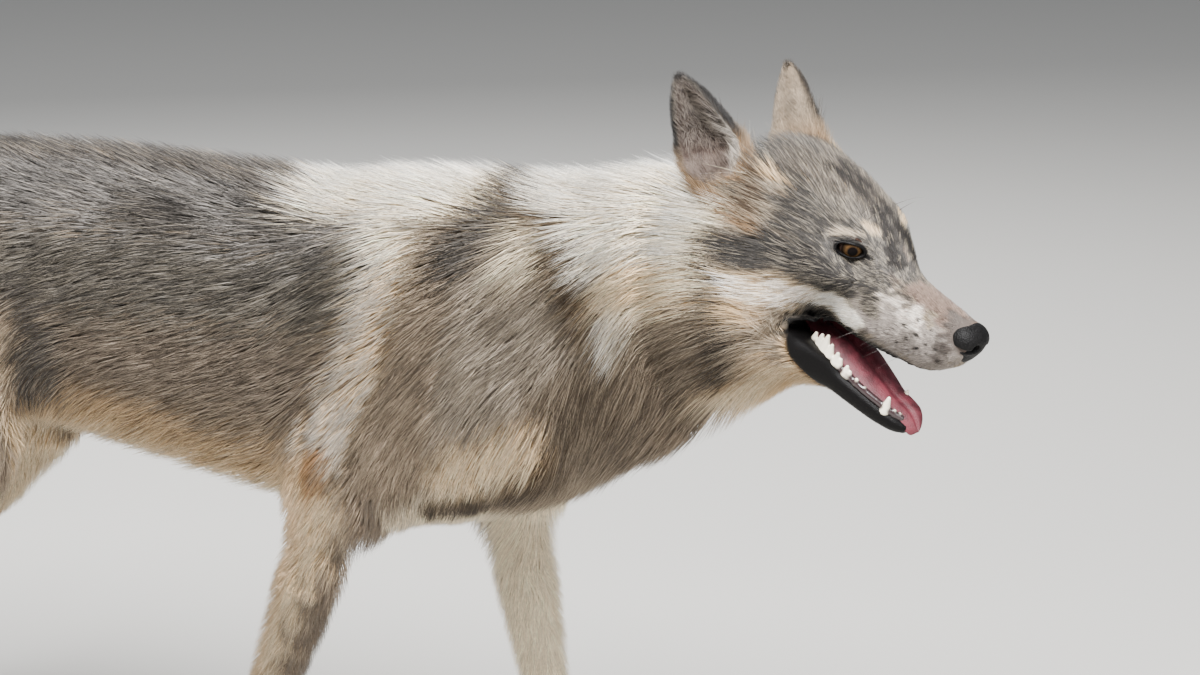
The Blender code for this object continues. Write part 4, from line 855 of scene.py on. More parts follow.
@dataclass(frozen=True)
class Mark:
    """A patch of colour round a line, the same on both sides, in millimetres.

    It has the hair's own colour, its tip's colour and the share of dark hairs. It is full to its
    radius and gone past its soft edge.
    """

    base: Triple
    tip: Triple
    pepper: float
    radius: float
    soft: float
    line: tuple
    where: Side = Side.BODY
    flat: float = 0.6
    fray: float = 0.7

    def values(self) -> Array:
        """Both colours and the share of dark hairs in one row."""
        return np.array([*self.base, *self.tip, self.pepper])

    def share(self, places: Array, ragged: Array) -> Array:
        """How far the patch covers some mirrored places, 0 to 1.

        Args:
            places: places in the mark's own directions, with the side made positive.
            ragged: an uneven value of about -1 to 1 for each place, which frays the edge.

        Returns:
            One value for each place.
        """
        flat = np.array((1, self.flat if self.where is Side.BODY else 1, 1))
        away = line_gap(places * flat, [metres(p) * flat for p in self.line])
        full, soft = metres((self.radius, self.soft))
        return 1 - ramp(full, full + soft, away + ragged * soft * self.fray)


# Rows of whisker spots on one side of the muzzle: along the head and up, in millimetres
WHISKER_ROWS = (
    ((83, -21), (98, -21)),
    ((76, -31), (89, -32), (101, -34), (111, -33)),
    ((70, -40), (83, -41), (95, -42), (106, -41)),
    ((65, -48), (78, -49), (90, -49)),
)


@dataclass(frozen=True)
class Markings:
    """The coat's colours all over, as soft patches laid one over another."""

    ground: Mark = Mark(BROWN_GREY, PALE_GREY, 0.35, 0, 0, ())
    body: tuple = (
        # belly, flanks and back
        Mark(FLANK_TAN, BUFF, 0.2, 20, 34, ((-560, 50, 450), (-380, 80, 455), (-280, 70, 437),
            (-180, 70, 413), (-80, 120, 425))),
        Mark(BUFF, CREAM, 0.04, 34, 30, ((-500, 0, 420), (-100, 0, 375), (-30, 0, 372))),
        Mark(FLANK_BROWN, BROWN_GREY, 0.48, 26, 30, ((-400, 100, 528), (-240, 100, 530), (-110, 110, 527))),
        Mark(SIDE_GREY, CHARCOAL, 0.5, 34, 32, ((-440, 110, 600), (-280, 100, 609), (-60, 110, 617))),
        Mark(BACK_GREY, BLACK, 0.7, 32, 30, ((-580, 60, 665), (-420, 80, 690), (-190, 80, 685),
            (-100, 80, 680))),
        Mark(GREY, BLACK, 0.66, 12, 22, ((-310, 83, 677), (-255, 89, 664))),
        Mark(GREY, BLACK, 0.72, 12, 22, ((-180, 63, 698), (-135, 90, 665))),
        Mark(GREY, BLACK, 0.66, 12, 20, ((-620, 0, 690), (-400, 0, 722), (-190, 15, 718), (-137, 28, 713))),
        Mark(GREY, CHARCOAL, 0.45, 46, 30, ((-530, 90, 640), (-600, 70, 590))),
        Mark(THIGH_BUFF, CREAM, 0.3, 40, 35, ((-460, 120, 500), (-520, 120, 420))),
        # painted shadow: a dark line in the fold of the flank, in front of the thigh
        Mark(GREY, CHARCOAL, 0.62, 9, 20, ((-417, 110, 572), (-405, 100, 523), (-406, 90, 460))),
        # white over the withers and the stripe behind the shoulder
        Mark(CREAM, WHITE, 0.12, 30, 24, ((-115, 36, 712), (-53, 42, 718), (30, 42, 724))),
        Mark(CREAM, WHITE, 0.06, 17, 26, ((-18, 84, 698), (-12, 108, 660), (-6, 120, 612))),
        Mark(BUFF, WHITE, 0.16, 10, 32, ((-6, 120, 612), (-14, 121, 561), (-43, 116, 506),
            (-56, 120, 470))),
        # shoulder and upper arm
        Mark(SHOULDER_BROWN, CREAM, 0.46, 34, 30, ((69, 120, 600), (114, 130, 557), (90, 130, 510))),
        Mark(MID_BROWN, CHARCOAL, 0.46, 12, 26, ((52, 120, 622), (39, 126, 547), (28, 128, 490))),
        Mark(GREY, BLACK, 0.8, 16, 18, ((89, 29, 728), (84, 58, 715), (78, 74, 704))),
        Mark(GREY, BLACK, 0.84, 12, 24, ((67, 97, 682), (69, 108, 652))),
        Mark(CREAM, CREAM, 0.3, 12, 16, ((114, 91, 678), (132, 104, 644))),
        Mark(SHOULDER_BROWN, CREAM, 0.46, 22, 24, ((164, 108, 603), (194, 107, 551))),
        Mark(BUFF, CREAM, 0.16, 16, 24, ((77, 121, 448), (141, 125, 468), (211, 83, 484))),
        Mark(MID_BROWN, GREY, 0.36, 18, 26, ((39, 129, 501), (15, 125, 450))),
        # neck: brown below, the pale cape with its dark edge above, and the dark line behind the cheek
        Mark(TAN, BUFF, 0.16, 30, 30, ((374, 0, 560), (310, 0, 515))),
        Mark(BROWN_GREY, TAN, 0.54, 28, 24, ((200, 100, 520), (242, 84, 543), (284, 88, 580),
            (304, 75, 570))),
        Mark(BROWN_GREY, TAN, 0.54, 24, 20, ((190, 70, 478), (245, 50, 492), (285, 45, 522))),
        Mark(BUFF, CREAM, 0.1, 11, 18, ((312, 50, 526), (341, 42, 543), (374, 29, 560))),
        Mark(BROWN, BLACK, 0.55, 7, 14, ((95, 42, 723), (138, 77, 692), (164, 92, 656), (186, 94, 622),
            (210, 94, 580))),
        Mark(CREAM, WHITE, 0.1, 34, 14, ((135, 20, 735), (205, 32, 738), (290, 37, 752))),
        Mark(CREAM, WHITE, 0.09, 24, 14, ((172, 66, 702), (281, 75, 713))),
        Mark(CREAM, WHITE, 0.09, 23, 14, ((207, 85, 665), (290, 90, 678))),
        Mark(BUFF, CREAM, 0.16, 19, 14, ((229, 93, 630), (276, 96, 645))),
        Mark(CREAM, WHITE, 0.1, 7, 14, ((225, 92, 600), (228, 92, 578))),
        Mark(CREAM, CREAM, 0.14, 10, 22, ((306, 85, 720), (302, 95, 650))),
        # legs
        Mark(BUFF, CREAM, 0.06, 45, 20, ((-70, 90, 380), (-150, 80, 180), (-130, 80, 20))),
        Mark(FORELEG_BUFF, BUFF, 0.02, 14, 18, ((-92, 100, 400), (-150, 80, 280), (-185, 80, 170))),
        Mark(MID_BROWN, GREY, 0.28, 14, 24, ((0, 110, 410), (-52, 91, 316), (-115, 80, 200))),
        Mark(RUST, TAN, 0.02, 5, 14, ((-64, 127, 457), (-60, 132, 430))),
        Mark(CREAM, CREAM, 0.02, 45, 20, ((60, 90, 370), (90, 80, 170), (150, 80, 20))),
        Mark(BUFF, CREAM, 0.08, 46, 25, ((-540, 90, 340), (-630, 80, 200), (-590, 80, 20))),
        Mark(BUFF, CREAM, 0.08, 46, 25, ((-590, 90, 340), (-705, 80, 220), (-700, 80, 20))),
        Mark(HOCK_TAN, TAN, 0.12, 6, 22, ((-590, 90, 330), (-655, 80, 200), (-655, 80, 90))),
        # painted shade: a dark band in the crease between the chest and the forelegs
        Mark(BROWN, BLACK, 0.84, 10, 14, ((56, 95, 406), (88, 97, 414), (128, 92, 424), (172, 92, 444))),
        # tail
        Mark(GREY, BLACK, 0.6, 40, 25, ((-630, 0, 670), (-740, 0, 590), (-810, 0, 480))),
        Mark(BUFF, GREY, 0.25, 28, 26, ((-700, 0, 500), (-730, 0, 440), (-765, 0, 370))),
        Mark(CHARCOAL, BLACK, 0.85, 45, 30, ((-800, 0, 330), (-812, 0, 260))),
    )
    head: tuple = (
        # grey face and crown, darker towards the cheek
        Mark(FACE_GREY, PALE_GREY, 0.66, 68, 18, ((-95, 0, -10), (0, 0, -20)), Side.HEAD),
        Mark(TAN, BUFF, 0.16, 32, 14, ((-10, 0, -145), (-80, 45, -120), (-70, 60, -100)), Side.HEAD),
        Mark(CROWN_GREY, BUFF, 0.62, 20, 14, ((-92, 30, 36), (-59, 15, 41), (-30, 8, 40)), Side.HEAD),
        Mark(GREY, PALE_GREY, 0.5, 8, 10, ((-32, 42, 25), (-11, 29, 30)), Side.HEAD),
        Mark(FACE_GREY, BLACK, 0.6, 11, 10, ((-75, 85, -36), (-4, 60, -26), (22, 42, -20)), Side.HEAD),
        # muzzle: brown on top, speckled at the sides, with a white blotch between
        Mark(MUZZLE_GREY, SPECKLED, 0.27, 18, 10, ((46, 34, -40), (75, 28, -42), (112, 18, -34)),
            Side.HEAD),
        Mark(MUZZLE_BROWN, MUZZLE_TIP, 0.24, 22, 10, ((50, 0, 8), (78, 0, 4), (112, 0, 0)), Side.HEAD),
        Mark(FACE_GREY, PALE_GREY, 0.62, 10, 10, ((18, 12, 16), (36, 14, 9), (48, 12, 7)), Side.HEAD),
        Mark(FACE_GREY, PALE_GREY, 0.55, 7, 9, ((20, 30, 4), (34, 36, -18), (40, 36, -32)), Side.HEAD),
        Mark(NOSE_BROWN, GREY, 0.25, 5, 9, ((110, 10, -2), (116, 16, -18), (114, 20, -32)), Side.HEAD),
        Mark(BLOTCH, BLOTCH_TIP, 0.12, 2.5, 11, ((56, 34, -22), (70, 30, -20), (82, 26, -20)), Side.HEAD),
        # white band over the lip, out to the cheek
        Mark(CREAM, WHITE, 0.12, 8.5, 7, ((-14, 56, -60), (10, 47, -54), (36, 38, -58)), Side.HEAD),
        Mark(BUFF, WHITE, 0.24, 7.5, 10, ((-14, 58, -62), (-53, 88, -70), (-84, 104, -86)), Side.HEAD),
        # cheek and round the ear
        Mark(FACE_GREY, BLACK, 0.78, 14, 11, ((-105, 104, -56), (-60, 89, -44)), Side.HEAD),
        Mark(EAR_ROOT, EAR_ROOT_TIP, 0.29, 15, 9, ((-122, 98, -26), (-88, 86, -18)), Side.HEAD),
        Mark(EAR_FRONT, GREY, 0.6, 12, 9, ((-118, 74, 14), (-94, 84, -6)), Side.HEAD),
        Mark(TAN, BUFF, 0.22, 3, 10, ((-98, 58, 24), (-84, 62, 16)), Side.HEAD),
        # brow, the dark furrow over it, and the dark corner of the eye
        Mark(BROW, BROW_TIP, 0.14, 0.8, 3.4, ((-20, 54, 5), (-8, 44, 12.5), (4, 31, 16.5)), Side.HEAD),
        Mark(BROW_END, BUFF, 0.14, 1.4, 4.4, ((0, 30, 21), (10, 20, 22)), Side.HEAD),
        Mark(CHARCOAL, BLACK, 0.84, 4.2, 8, ((-66, 10, 44), (-18, 6, 37), (9, 9, 26), (36, 14, 10)),
            Side.HEAD),
        Mark(BLACK, BLACK, 0.0, 1.8, 2.6, ((12.5, 36, 2), (20.5, 34, 0.5)), Side.HEAD),
        Mark(BLACK, BLACK, 0.0, 1, 2.4, ((-11, 46, 1), (-20, 52, 1.5)), Side.HEAD),
        Mark(CHARCOAL, BLACK, 0.66, 6, 11, ((312, 88, 670), (317, 92, 636), (321, 86, 598),
            (321, 71, 556))),
    ) + tuple(
        Mark(BLACK, BLACK, 0.0, 1, 1.2, ((along, 17, up), (along, 38, up)), Side.HEAD)
        for row in WHISKER_ROWS
        for along, up in row
    )

    def at(self, points: Array) -> tuple[Array, Array, Array]:
        """Colours at some places.

        Args:
            points: places, one row each.

        Returns:
            The hair's own colour, its tip's colour, and the share of dark hairs.
        """
        ragged = 0.6 * wobble(points, 0.030, 3) + 0.6 * wobble(points, 0.011, 4)
        body, head = points.copy(), HEAD.inside(points)
        body[:, 1], head[:, 1] = np.abs(body[:, 1]), np.abs(head[:, 1])
        mixed = np.tile(self.ground.values(), (len(points), 1))
        for mark in self.body + self.head:
            places = head if mark.where is Side.HEAD else body
            share = mark.share(places, ragged)[:, None]
            mixed += share * (mark.values() - mixed)
        return mixed[:, :3], mixed[:, 3:6], mixed[:, 6]


MARKINGS = Markings()


class Nodes:
    """Adds shader nodes to a tree and joins them."""

    def __init__(self, tree: bpy.types.NodeTree) -> None:
        """Works on one tree."""
        self.tree = tree

    def add(self, kind: str, inputs: dict | None = None, **settings: object) -> bpy.types.Node:
        """Adds a node.

        Args:
            kind: the node's type.
            inputs: for each input, a value or the socket that feeds it.
            settings: the node's own properties.

        Returns:
            The node.
        """
        node = self.tree.nodes.new(kind)
        for name, value in settings.items():
            setattr(node, name, value)
        for name, value in (inputs or {}).items():
            if isinstance(value, Socket):
                self.tree.links.new(value, node.inputs[name])
            else:
                node.inputs[name].default_value = value
        return node

    def noise(self, where: Socket, scale: float, detail: float) -> Socket:
        """A noise texture's value."""
        fields = {"Vector": where, "Scale": scale, "Detail": detail}
        return self.add("ShaderNodeTexNoise", fields).outputs["Fac"]

    def cells(self, where: Socket, scale: float) -> Socket:
        """The distance to the middle of the nearest cell."""
        return self.add("ShaderNodeTexVoronoi", {"Vector": where, "Scale": scale}).outputs["Distance"]

    def map_range(self, value: Socket, low: float, high: float, to_low: float, to_high: float) -> Socket:
        """A value moved from one range to another."""
        fields = {"From Min": low, "From Max": high, "To Min": to_low, "To Max": to_high}
        return self.add("ShaderNodeMapRange", {"Value": value, **fields}).outputs["Result"]

    def ramp(self, factor: Socket, stops: Sequence) -> Socket:
        """A colour ramp through (place, colour) stops."""
        node = self.add("ShaderNodeValToRGB", {"Fac": factor})
        band = node.color_ramp
        for place, colour in stops[1:-1]:
            band.elements.new(place).color = (*colour, 1)
        band.elements[0].position, band.elements[0].color = stops[0][0], (*stops[0][1], 1)
        band.elements[-1].position, band.elements[-1].color = stops[-1][0], (*stops[-1][1], 1)
        return node.outputs["Color"]


@dataclass(frozen=True)
class Finish:
    """A finish of one kind of piece: the name of its slot, and how it takes light."""

    name: str
    slot: str
    roughness: float
    specular: float = 0.5
    coat: float = 0.0
    coat_roughness: float = 0.1

    def start(self) -> tuple[bpy.types.Material, Nodes, bpy.types.Node]:
        """A new material, its nodes and its shader, with the plain values set."""
        made = bpy.data.materials.new(self.name)
        made.use_nodes = True
        shader = made.node_tree.nodes["Principled BSDF"]
        shader.inputs["Roughness"].default_value = self.roughness
        shader.inputs["Specular IOR Level"].default_value = self.specular
        shader.inputs["Coat Weight"].default_value = self.coat
        shader.inputs["Coat Roughness"].default_value = self.coat_roughness
        return made, Nodes(made.node_tree), shader

    def bump(self, nodes: Nodes, shader: bpy.types.Node, height: Socket, depth: float) -> None:
        """Joins a height to the shader as a bump of a depth in metres."""
        bump = nodes.add("ShaderNodeBump", {"Height": height, "Strength": 1.0, "Distance": depth})
        nodes.tree.links.new(bump.outputs["Normal"], shader.inputs["Normal"])


@dataclass(frozen=True)
class PaintedFinish(Finish):
    """Takes its colour from the mesh's own tint, with a fine uneven grain; bare is the roughness
    of its darkest places, such as the lips, or 0 where it is the same all over."""

    grain: float = 900.0
    uneven: float = 0.12
    depth: float = 0.0002
    bare: float = 0.0

    def material(self) -> bpy.types.Material:
        """Builds the material."""
        made, nodes, shader = self.start()
        tint = nodes.add("ShaderNodeAttribute", attribute_name="tint").outputs["Color"]
        where = nodes.add("ShaderNodeTexCoord").outputs["Object"]
        noise = nodes.noise(where, self.grain, 2.0)
        value = nodes.map_range(noise, 0.3, 0.7, 1 - self.uneven, 1 + self.uneven)
        toned = nodes.add("ShaderNodeHueSaturation", {"Color": tint, "Value": value}).outputs["Color"]
        nodes.tree.links.new(toned, shader.inputs["Base Color"])
        if self.bare:
            grey = nodes.add("ShaderNodeRGBToBW", {"Color": tint}).outputs["Val"]
            rough = nodes.map_range(grey, 0.008, 0.04, self.bare, self.roughness)
            nodes.tree.links.new(rough, shader.inputs["Roughness"])
        self.bump(nodes, shader, noise, self.depth)
        return made


@dataclass(frozen=True)
class LeatherFinish(Finish):
    """Nose leather: black, with small rounded pebbles; painted light on their tops and painted shade in the
    grooves between them.
    """

    colour: Triple = linear(11, 10, 10)
    pebbles: float = 620.0

    def material(self) -> bpy.types.Material:
        """Builds the material."""
        made, nodes, shader = self.start()
        where = nodes.add("ShaderNodeTexCoord").outputs["Object"]
        cells = nodes.cells(where, self.pebbles)
        # painted light and shade: 1.5 times the colour at each pebble's middle, 0.5 times in the grooves
        light, dark = (tuple(share * c for c in self.colour) for share in (1.5, 0.5))
        colour = nodes.ramp(cells, ((0.0, light), (0.8, dark)))
        height = nodes.add("ShaderNodeMath", {0: 1.0, 1: cells}, operation="SUBTRACT").outputs[0]
        nodes.tree.links.new(colour, shader.inputs["Base Color"])
        self.bump(nodes, shader, height, 0.0005)
        return made


@dataclass(frozen=True)
class FleshFinish(Finish):
    """Wet tongue flesh: dusky pink, paler and redder in clouds, with fine papillae."""

    colour: Triple = linear(94, 39, 47)
    deep: Triple = linear(62, 23, 29)

    def material(self) -> bpy.types.Material:
        """Builds the material."""
        made, nodes, shader = self.start()
        where = nodes.add("ShaderNodeTexCoord").outputs["Object"]
        cloud, dots = nodes.noise(where, 90.0, 3.0), nodes.cells(where, 900.0)
        colour = nodes.ramp(cloud, ((0.35, self.deep), (0.65, self.colour)))
        nodes.tree.links.new(colour, shader.inputs["Base Color"])
        self.bump(nodes, shader, dots, 0.0003)
        return made


@dataclass(frozen=True)
class EyeFinish(Finish):
    """A clear-coated eye: black pupil, amber-brown iris with fibres, dark ring, dark white."""

    pupil: float = 0.100
    iris: float = 0.270
    inner: Triple = linear(74, 54, 33)
    outer: Triple = linear(44, 33, 23)
    white: Triple = linear(60, 46, 40)

    def material(self) -> bpy.types.Material:
        """Builds the material: the map's first value is the angle from the line of sight over pi."""
        made, nodes, shader = self.start()
        uv = nodes.add("ShaderNodeUVMap", uv_map="Round").outputs["UV"]
        parts = nodes.add("ShaderNodeSeparateXYZ", {"Vector": uv})
        fibre = nodes.add("ShaderNodeMapping", {"Vector": uv, "Scale": (4.0, 60.0, 1.0)}).outputs["Vector"]
        noise = nodes.noise(fibre, 1.0, 3.0)
        dark, ring = (0.004, 0.003, 0.003), tuple(0.25 * c for c in self.outer)
        colour = nodes.ramp(parts.outputs["X"], (
            (0.0, dark), (self.pupil, dark), (self.pupil + 0.008, self.outer),
            (self.pupil + 0.05, self.inner), (self.iris - 0.06, self.outer), (self.iris - 0.012, ring),
            (self.iris, dark), (self.iris + 0.03, self.white), (1.0, dark),
        ))
        streak = nodes.ramp(noise, ((0.3, (0.45, 0.45, 0.45)), (0.7, (1.0, 1.0, 1.0))))
        product = nodes.add("ShaderNodeMix", data_type="RGBA", blend_type="MULTIPLY")
        product.inputs[0].default_value = 1.0
        nodes.tree.links.new(colour, product.inputs[6])
        nodes.tree.links.new(streak, product.inputs[7])
        nodes.tree.links.new(product.outputs[2], shader.inputs["Base Color"])
        return made


@dataclass(frozen=True)
class PlainFinish(Finish):
    """One even colour."""

    colour: Triple = (0.5, 0.5, 0.5)

    def material(self) -> bpy.types.Material:
        """Builds the material."""
        made, _, shader = self.start()
        shader.inputs["Base Color"].default_value = (*self.colour, 1)
        return made


FUR = PaintedFinish("fur", "coat_grey", 0.62, specular=0.25, grain=260.0, uneven=0.16, depth=0.00005)
SKIN = PaintedFinish(
    "skin", "coat_cream", 0.75, specular=0.08, grain=1100.0, uneven=0.20, depth=0.0004, bare=0.40
)
NOSE = LeatherFinish("nose_leather", "nose", 0.55, specular=0.12)
TONGUE = FleshFinish("tongue_flesh", "tongue", 0.55, specular=0.25, coat=0.06, coat_roughness=0.30)
TOOTH = PaintedFinish("tooth_enamel", "tooth", 0.28, coat=0.30, grain=300.0, uneven=0.05, depth=0.0001)
EYE = EyeFinish("eye_clear", "eye", 0.50, specular=0.0, coat=0.05, coat_roughness=0.06)
HORN = PlainFinish("claw_horn", "nose", 0.40, coat=0.15, colour=linear(58, 50, 44))
WHISKER = PlainFinish("whisker", "nose", 0.45, colour=linear(60, 54, 50))
FLOOR = PlainFinish("floor", "floor", 0.85, specular=0.2, colour=linear(168, 166, 162))


def dress(obj: bpy.types.Object, finish: Finish, *nodes: str) -> bpy.types.Object:
    """Ties a piece to the model: it rides on the body and stands for the named nodes."""
    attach(obj, "root")
    if nodes:
        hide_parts(*nodes)
    LOG.info("%s: %d faces", obj.name, len(obj.data.polygons))
    return obj


def tint(obj: bpy.types.Object, colours: Array) -> None:
    """Stores one colour for each point of an object's mesh."""
    layer = obj.data.color_attributes.new("tint", "FLOAT_COLOR", "POINT")
    rgba = np.concatenate([colours, np.ones((len(colours), 1))], 1)
    layer.data.foreach_set("color", rgba.astype(np.float32).ravel())


def set_map(obj: bpy.types.Object, name: str, places: Array) -> None:
    """Stores a UV map with one place for each face corner."""
    layer = obj.data.uv_layers.new(name=name)
    layer.data.foreach_set("uv", places.astype(np.float32).ravel())


@dataclass(frozen=True)
class Patch:
    """A part of the flesh: the coat's outside as a volume, and the skin inside it."""

    name: str
    outer: Volume
    skin: Mesh
    step: float
    ear: "Ear | None" = None


@dataclass(frozen=True)
class Ear:
    """One ear: a pointed cup that stands back and out from the crown."""

    side: int
    base: Triple
    tip: Triple
    back: Triple
    shell: tuple = (
        (-30, 12, -20, 22),
        (0, 10, -24, 31.5),
        (30, 4, -22, 31.5),
        (60, 0, -17, 24),
        (85, -3, -12, 14),
        (101.5, -5.5, -8.5, 3.5),
    )
    hollow: tuple = (
        (4, 32, -8, 13),
        (18, 34, -16.5, 25),
        (40, 32, -15.5, 25),
        (64, 28, -11, 18.5),
        (86, 22, -6.5, 9.8),
        (99.5, 16, -4.5, 3),
    )
    ahead: float = 0.30
    cell: float = 0.0019
    depth: float = 0.0010

    def frame(self) -> Frame:
        """Forward is base to tip, up is the open side."""
        base, tip = HEAD.world(self.base), HEAD.world(self.tip)
        axis = unit(tip - base)
        facing = HEAD.rows[0] * self.ahead + HEAD.rows[1] * self.side * 0.86 + HEAD.rows[2] * 0.10
        facing = unit(facing - axis * (facing @ axis))
        place = Frame(base)
        place.rows = np.array([axis, np.cross(facing, axis), facing])
        return place

    def patch(self) -> Patch:
        """The ear's own volume and skin."""
        place = self.frame()
        centre = place.world((0.045, 0, 0))
        volume = window(centre - 0.085, centre + 0.085, self.cell)
        volume.add(Loft(self.shell, place, 2.0), 0.004)
        volume.carve(Loft(self.hollow, place, 2.0), 0.003)
        volume.d += self.depth
        skin = Mesh(*volume.surface())
        volume.d -= self.depth
        return Patch("ear_left" if self.side > 0 else "ear_right", volume, skin, 0.0025, self)

    def parts(self, points: Array) -> tuple[Array, Array, Array]:
        """How high on the ear, how far into the hollow and how near its front edge some places are."""
        along, across, _ = self.frame().inside(points).T
        gap = Loft(self.hollow, self.frame(), 2.0).distance(*points.T)
        front = ramp(0.15, 0.85, self.side * across / self.half_width(along))
        return along, 1 - ramp(0.001, 0.0035, gap), front

    def half_width(self, along: Array) -> Array:
        """Half the ear's width at each place along it."""
        return np.interp(along, *metres(self.shell).T[[0, 3]])

    def hair(self, points: Array) -> tuple[Array, Array, Array]:
        """The hair's measures: short on the back, long from the front edge across the hollow.

        Args:
            points: places on the ear, one row each.

        Returns:
            The hair's length, how far its tips stand off, and its direction.
        """
        along, inner, front = self.parts(points)
        place = self.frame()
        low, middle = 1 - ramp(0.006, 0.040, along), 1 - ramp(0.045, 0.080, along)
        outside = 0.0075 + 0.0155 * low
        across = place.inside(points)[:, 1]
        length = outside + inner * (0.010 + 0.020 * front * middle - outside)
        stand = 0.0018 + 0.0050 * low + inner * (0.0010 + 0.0080 * front * middle)
        spread = (8.0 * across * (1 - inner) - self.side * inner * (0.25 + 0.9 * front))[:, None]
        return length, stand, unit(place.rows[0] + spread * place.rows[1])

    def colours(self, points: Array) -> tuple[Array, Array, Array]:
        """Colours on the ear: tan base, grey-brown back, black rim, dark inside with pale tufts in front.

        Args:
            points: places on the ear, one row each.

        Returns:
            The hair's own colour, its tip's colour, and the share of dark hairs.
        """
        along, inner, front = (p[:, None] for p in self.parts(points))
        across, up = self.frame().inside(points).T[1:]
        rim = ramp(0.78, 0.95, np.abs(across) / self.half_width(along[:, 0]))[:, None]
        rim = rim * np.maximum(inner, ramp(-0.018, -0.008, up)[:, None])
        rim = np.maximum(rim * ramp(0.020, 0.045, along), ramp(0.090, 0.100, along))
        high = ramp(0.012, 0.050, along)
        tufts = inner * front * (1 - ramp(0.040, 0.075, along))
        base = blend(blend(EAR_TAN, self.back, high), blend(EAR_LOW, EAR_HIGH, high), inner)
        base = blend(base, np.array(PALE_GREY) * 0.6, tufts)
        base = blend(base, BLACK, 0.88 * rim)
        tip = base * 0.85 + 0.15 * np.array(CREAM) * (1 - rim) * (0.35 + 0.65 * tufts)
        return base, tip, blend(0.29, 0.20, inner)[:, 0]


EARS = (
    Ear(-1, (-0.134, -0.052, -0.020), (-0.202, -0.080, 0.043), CHARCOAL),
    Ear(1, (-0.109, 0.050, -0.009), (-0.1745, 0.072, 0.0445), BROWN_GREY, ahead=0.12),
)


@dataclass(frozen=True)
class Flesh:
    """The whole animal's flesh as patches of one surface, finer on the head and the feet."""

    head_from: float = 0.285
    foot_top: float = 0.090
    lap: float = 0.006
    body_cell: float = 0.0088
    side_cell: float = 0.0073
    leg_cell: float = 0.0068
    head_cell: float = 0.00245
    foot_cell: float = 0.0029
    eye_cell: float = 0.0009
    eye_patch: float = 0.0195

    def fill(self, volume: Volume, with_face: bool) -> None:
        """Melts every form of the animal into a volume, whose surface is the coat's outside."""
        for part in (Trunk(), *FORELEGS, *HINDLEGS, Tail(), SKULL):
            for form, melt in part.forms():
                volume.add(form, melt)
        if with_face:
            for form, melt in SKULL.mouth():
                volume.carve(form, melt)
            SKULL.open_eyes(volume)
        volume.floor()

    def skin_of(self, volume: Volume) -> Mesh:
        """The surface inside a volume's by the depth of the coat there."""
        near = np.argwhere(np.abs(volume.d) < 0.05)
        points = np.stack([axis[near[:, n]] for n, axis in enumerate(volume.axes)], 1)
        inner = Volume(*volume.axes)
        inner.d = volume.d.copy()
        inner.d[tuple(near.T)] += COAT.at(points)[0] * hairy(points)
        return Mesh(*inner.surface())

    def patches(self) -> list[Patch]:
        """Body, feet, head, eyelids and ears."""
        made = [self.body()] + [self.foot(name, leg) for name, leg in zip(FEET, FORELEGS + HINDLEGS)]
        made += [self.head()] + [self.eyelids(side) for side in (-1, 1)]
        return made + [ear.patch() for ear in EARS]

    def body(self) -> Patch:
        """Neck, trunk, legs and tail."""
        volume = Volume(
            np.arange(-0.890, 0.330, self.body_cell),
            np.arange(-0.160, 0.1605, self.side_cell),
            uneven(((0.060, 0.400, self.leg_cell), (0.400, 0.860, self.body_cell))),
        )
        self.fill(volume, False)
        skin = self.skin_of(volume)
        ahead, _, up = skin.points.T
        keep = (ahead < self.head_from + self.lap) & (up > self.foot_top - self.lap)
        return Patch("body", volume, skin.kept(keep), 0.006)

    def foot(self, name: str, leg: Foreleg | Hindleg) -> Patch:
        """One foot."""
        x, y, _ = leg.knuckle
        volume = window((x - 0.06, y - 0.06, -0.008), (x + 0.12, y + 0.06, 0.125), self.foot_cell)
        self.fill(volume, False)
        skin = self.skin_of(volume)
        return Patch(name, volume, skin.kept(skin.points[:, 2] < self.foot_top + self.lap), 0.003)

    def head(self) -> Patch:
        """The head and the end of the neck."""
        cell = self.head_cell
        volume = Volume(
            np.arange(self.head_from - 0.030, 0.610, cell),
            np.arange(-0.155, 0.135, cell),
            np.arange(0.440, 0.830, cell),
        )
        self.fill(volume, True)
        skin = self.skin_of(volume)
        keep = skin.points[:, 0] > self.head_from - self.lap
        for side in (-1, 1):
            eye = HEAD.world(SKULL.eye_centre(side))
            keep &= np.linalg.norm(skin.points - eye, axis=1) > self.eye_patch - 0.002
        return Patch("head", volume, skin.kept(keep), 0.004)

    def eyelids(self, side: int) -> Patch:
        """The skin round one eye, on a fine grid."""
        centre = HEAD.world(SKULL.eye_centre(side))
        volume = window(centre - 0.026, centre + 0.026, self.eye_cell)
        self.fill(volume, True)
        skin = self.skin_of(volume)
        keep = np.linalg.norm(skin.points - centre, axis=1) < self.eye_patch
        return Patch("lids_left" if side > 0 else "lids_right", volume, skin.kept(keep), 0.002)


def opening_gap(points: Array) -> Array:
    """Distance from each place to the nearer eye's almond opening, in metres."""
    return np.minimum(*(SKULL.almond(side).distance(*points.T) for side in (-1, 1)))


def mouth_gap(points: Array) -> Array:
    """Distance from each place to the space of the open mouth, in metres."""
    inside = np.full(len(points), FAR)
    near = np.linalg.norm(HEAD.inside(points) - (0.05, 0, -0.08), axis=1) < 0.16
    forms = [form.distance(*points[near].T) for form, _ in SKULL.mouth()]
    inside[near] = np.minimum(*forms)
    return inside


# The black lower lip's outer and inner lines, from the corner of the mouth to the chin, in millimetres
LIP_LINES = (
    ((-10, 45, -94), (7, 45, -106), (36, 31, -121), (65, 26, -124), (97, 19, -125), (112, 9, -124),
     (116, 0, -122)),
    ((0, 36, -92), (30, 30, -107), (65, 24, -113), (112, 4, -119)),
)
LIP_HALF_WIDTH = 0.0095


def lip_gap(points: Array) -> Array:
    """Distance from each place to the broad black lower lip, in metres; it ends at the chin."""
    local = HEAD.inside(points)
    local[:, 1] = np.abs(local[:, 1])
    return np.minimum(*(line_gap(local, metres(line)) for line in LIP_LINES)) - LIP_HALF_WIDTH


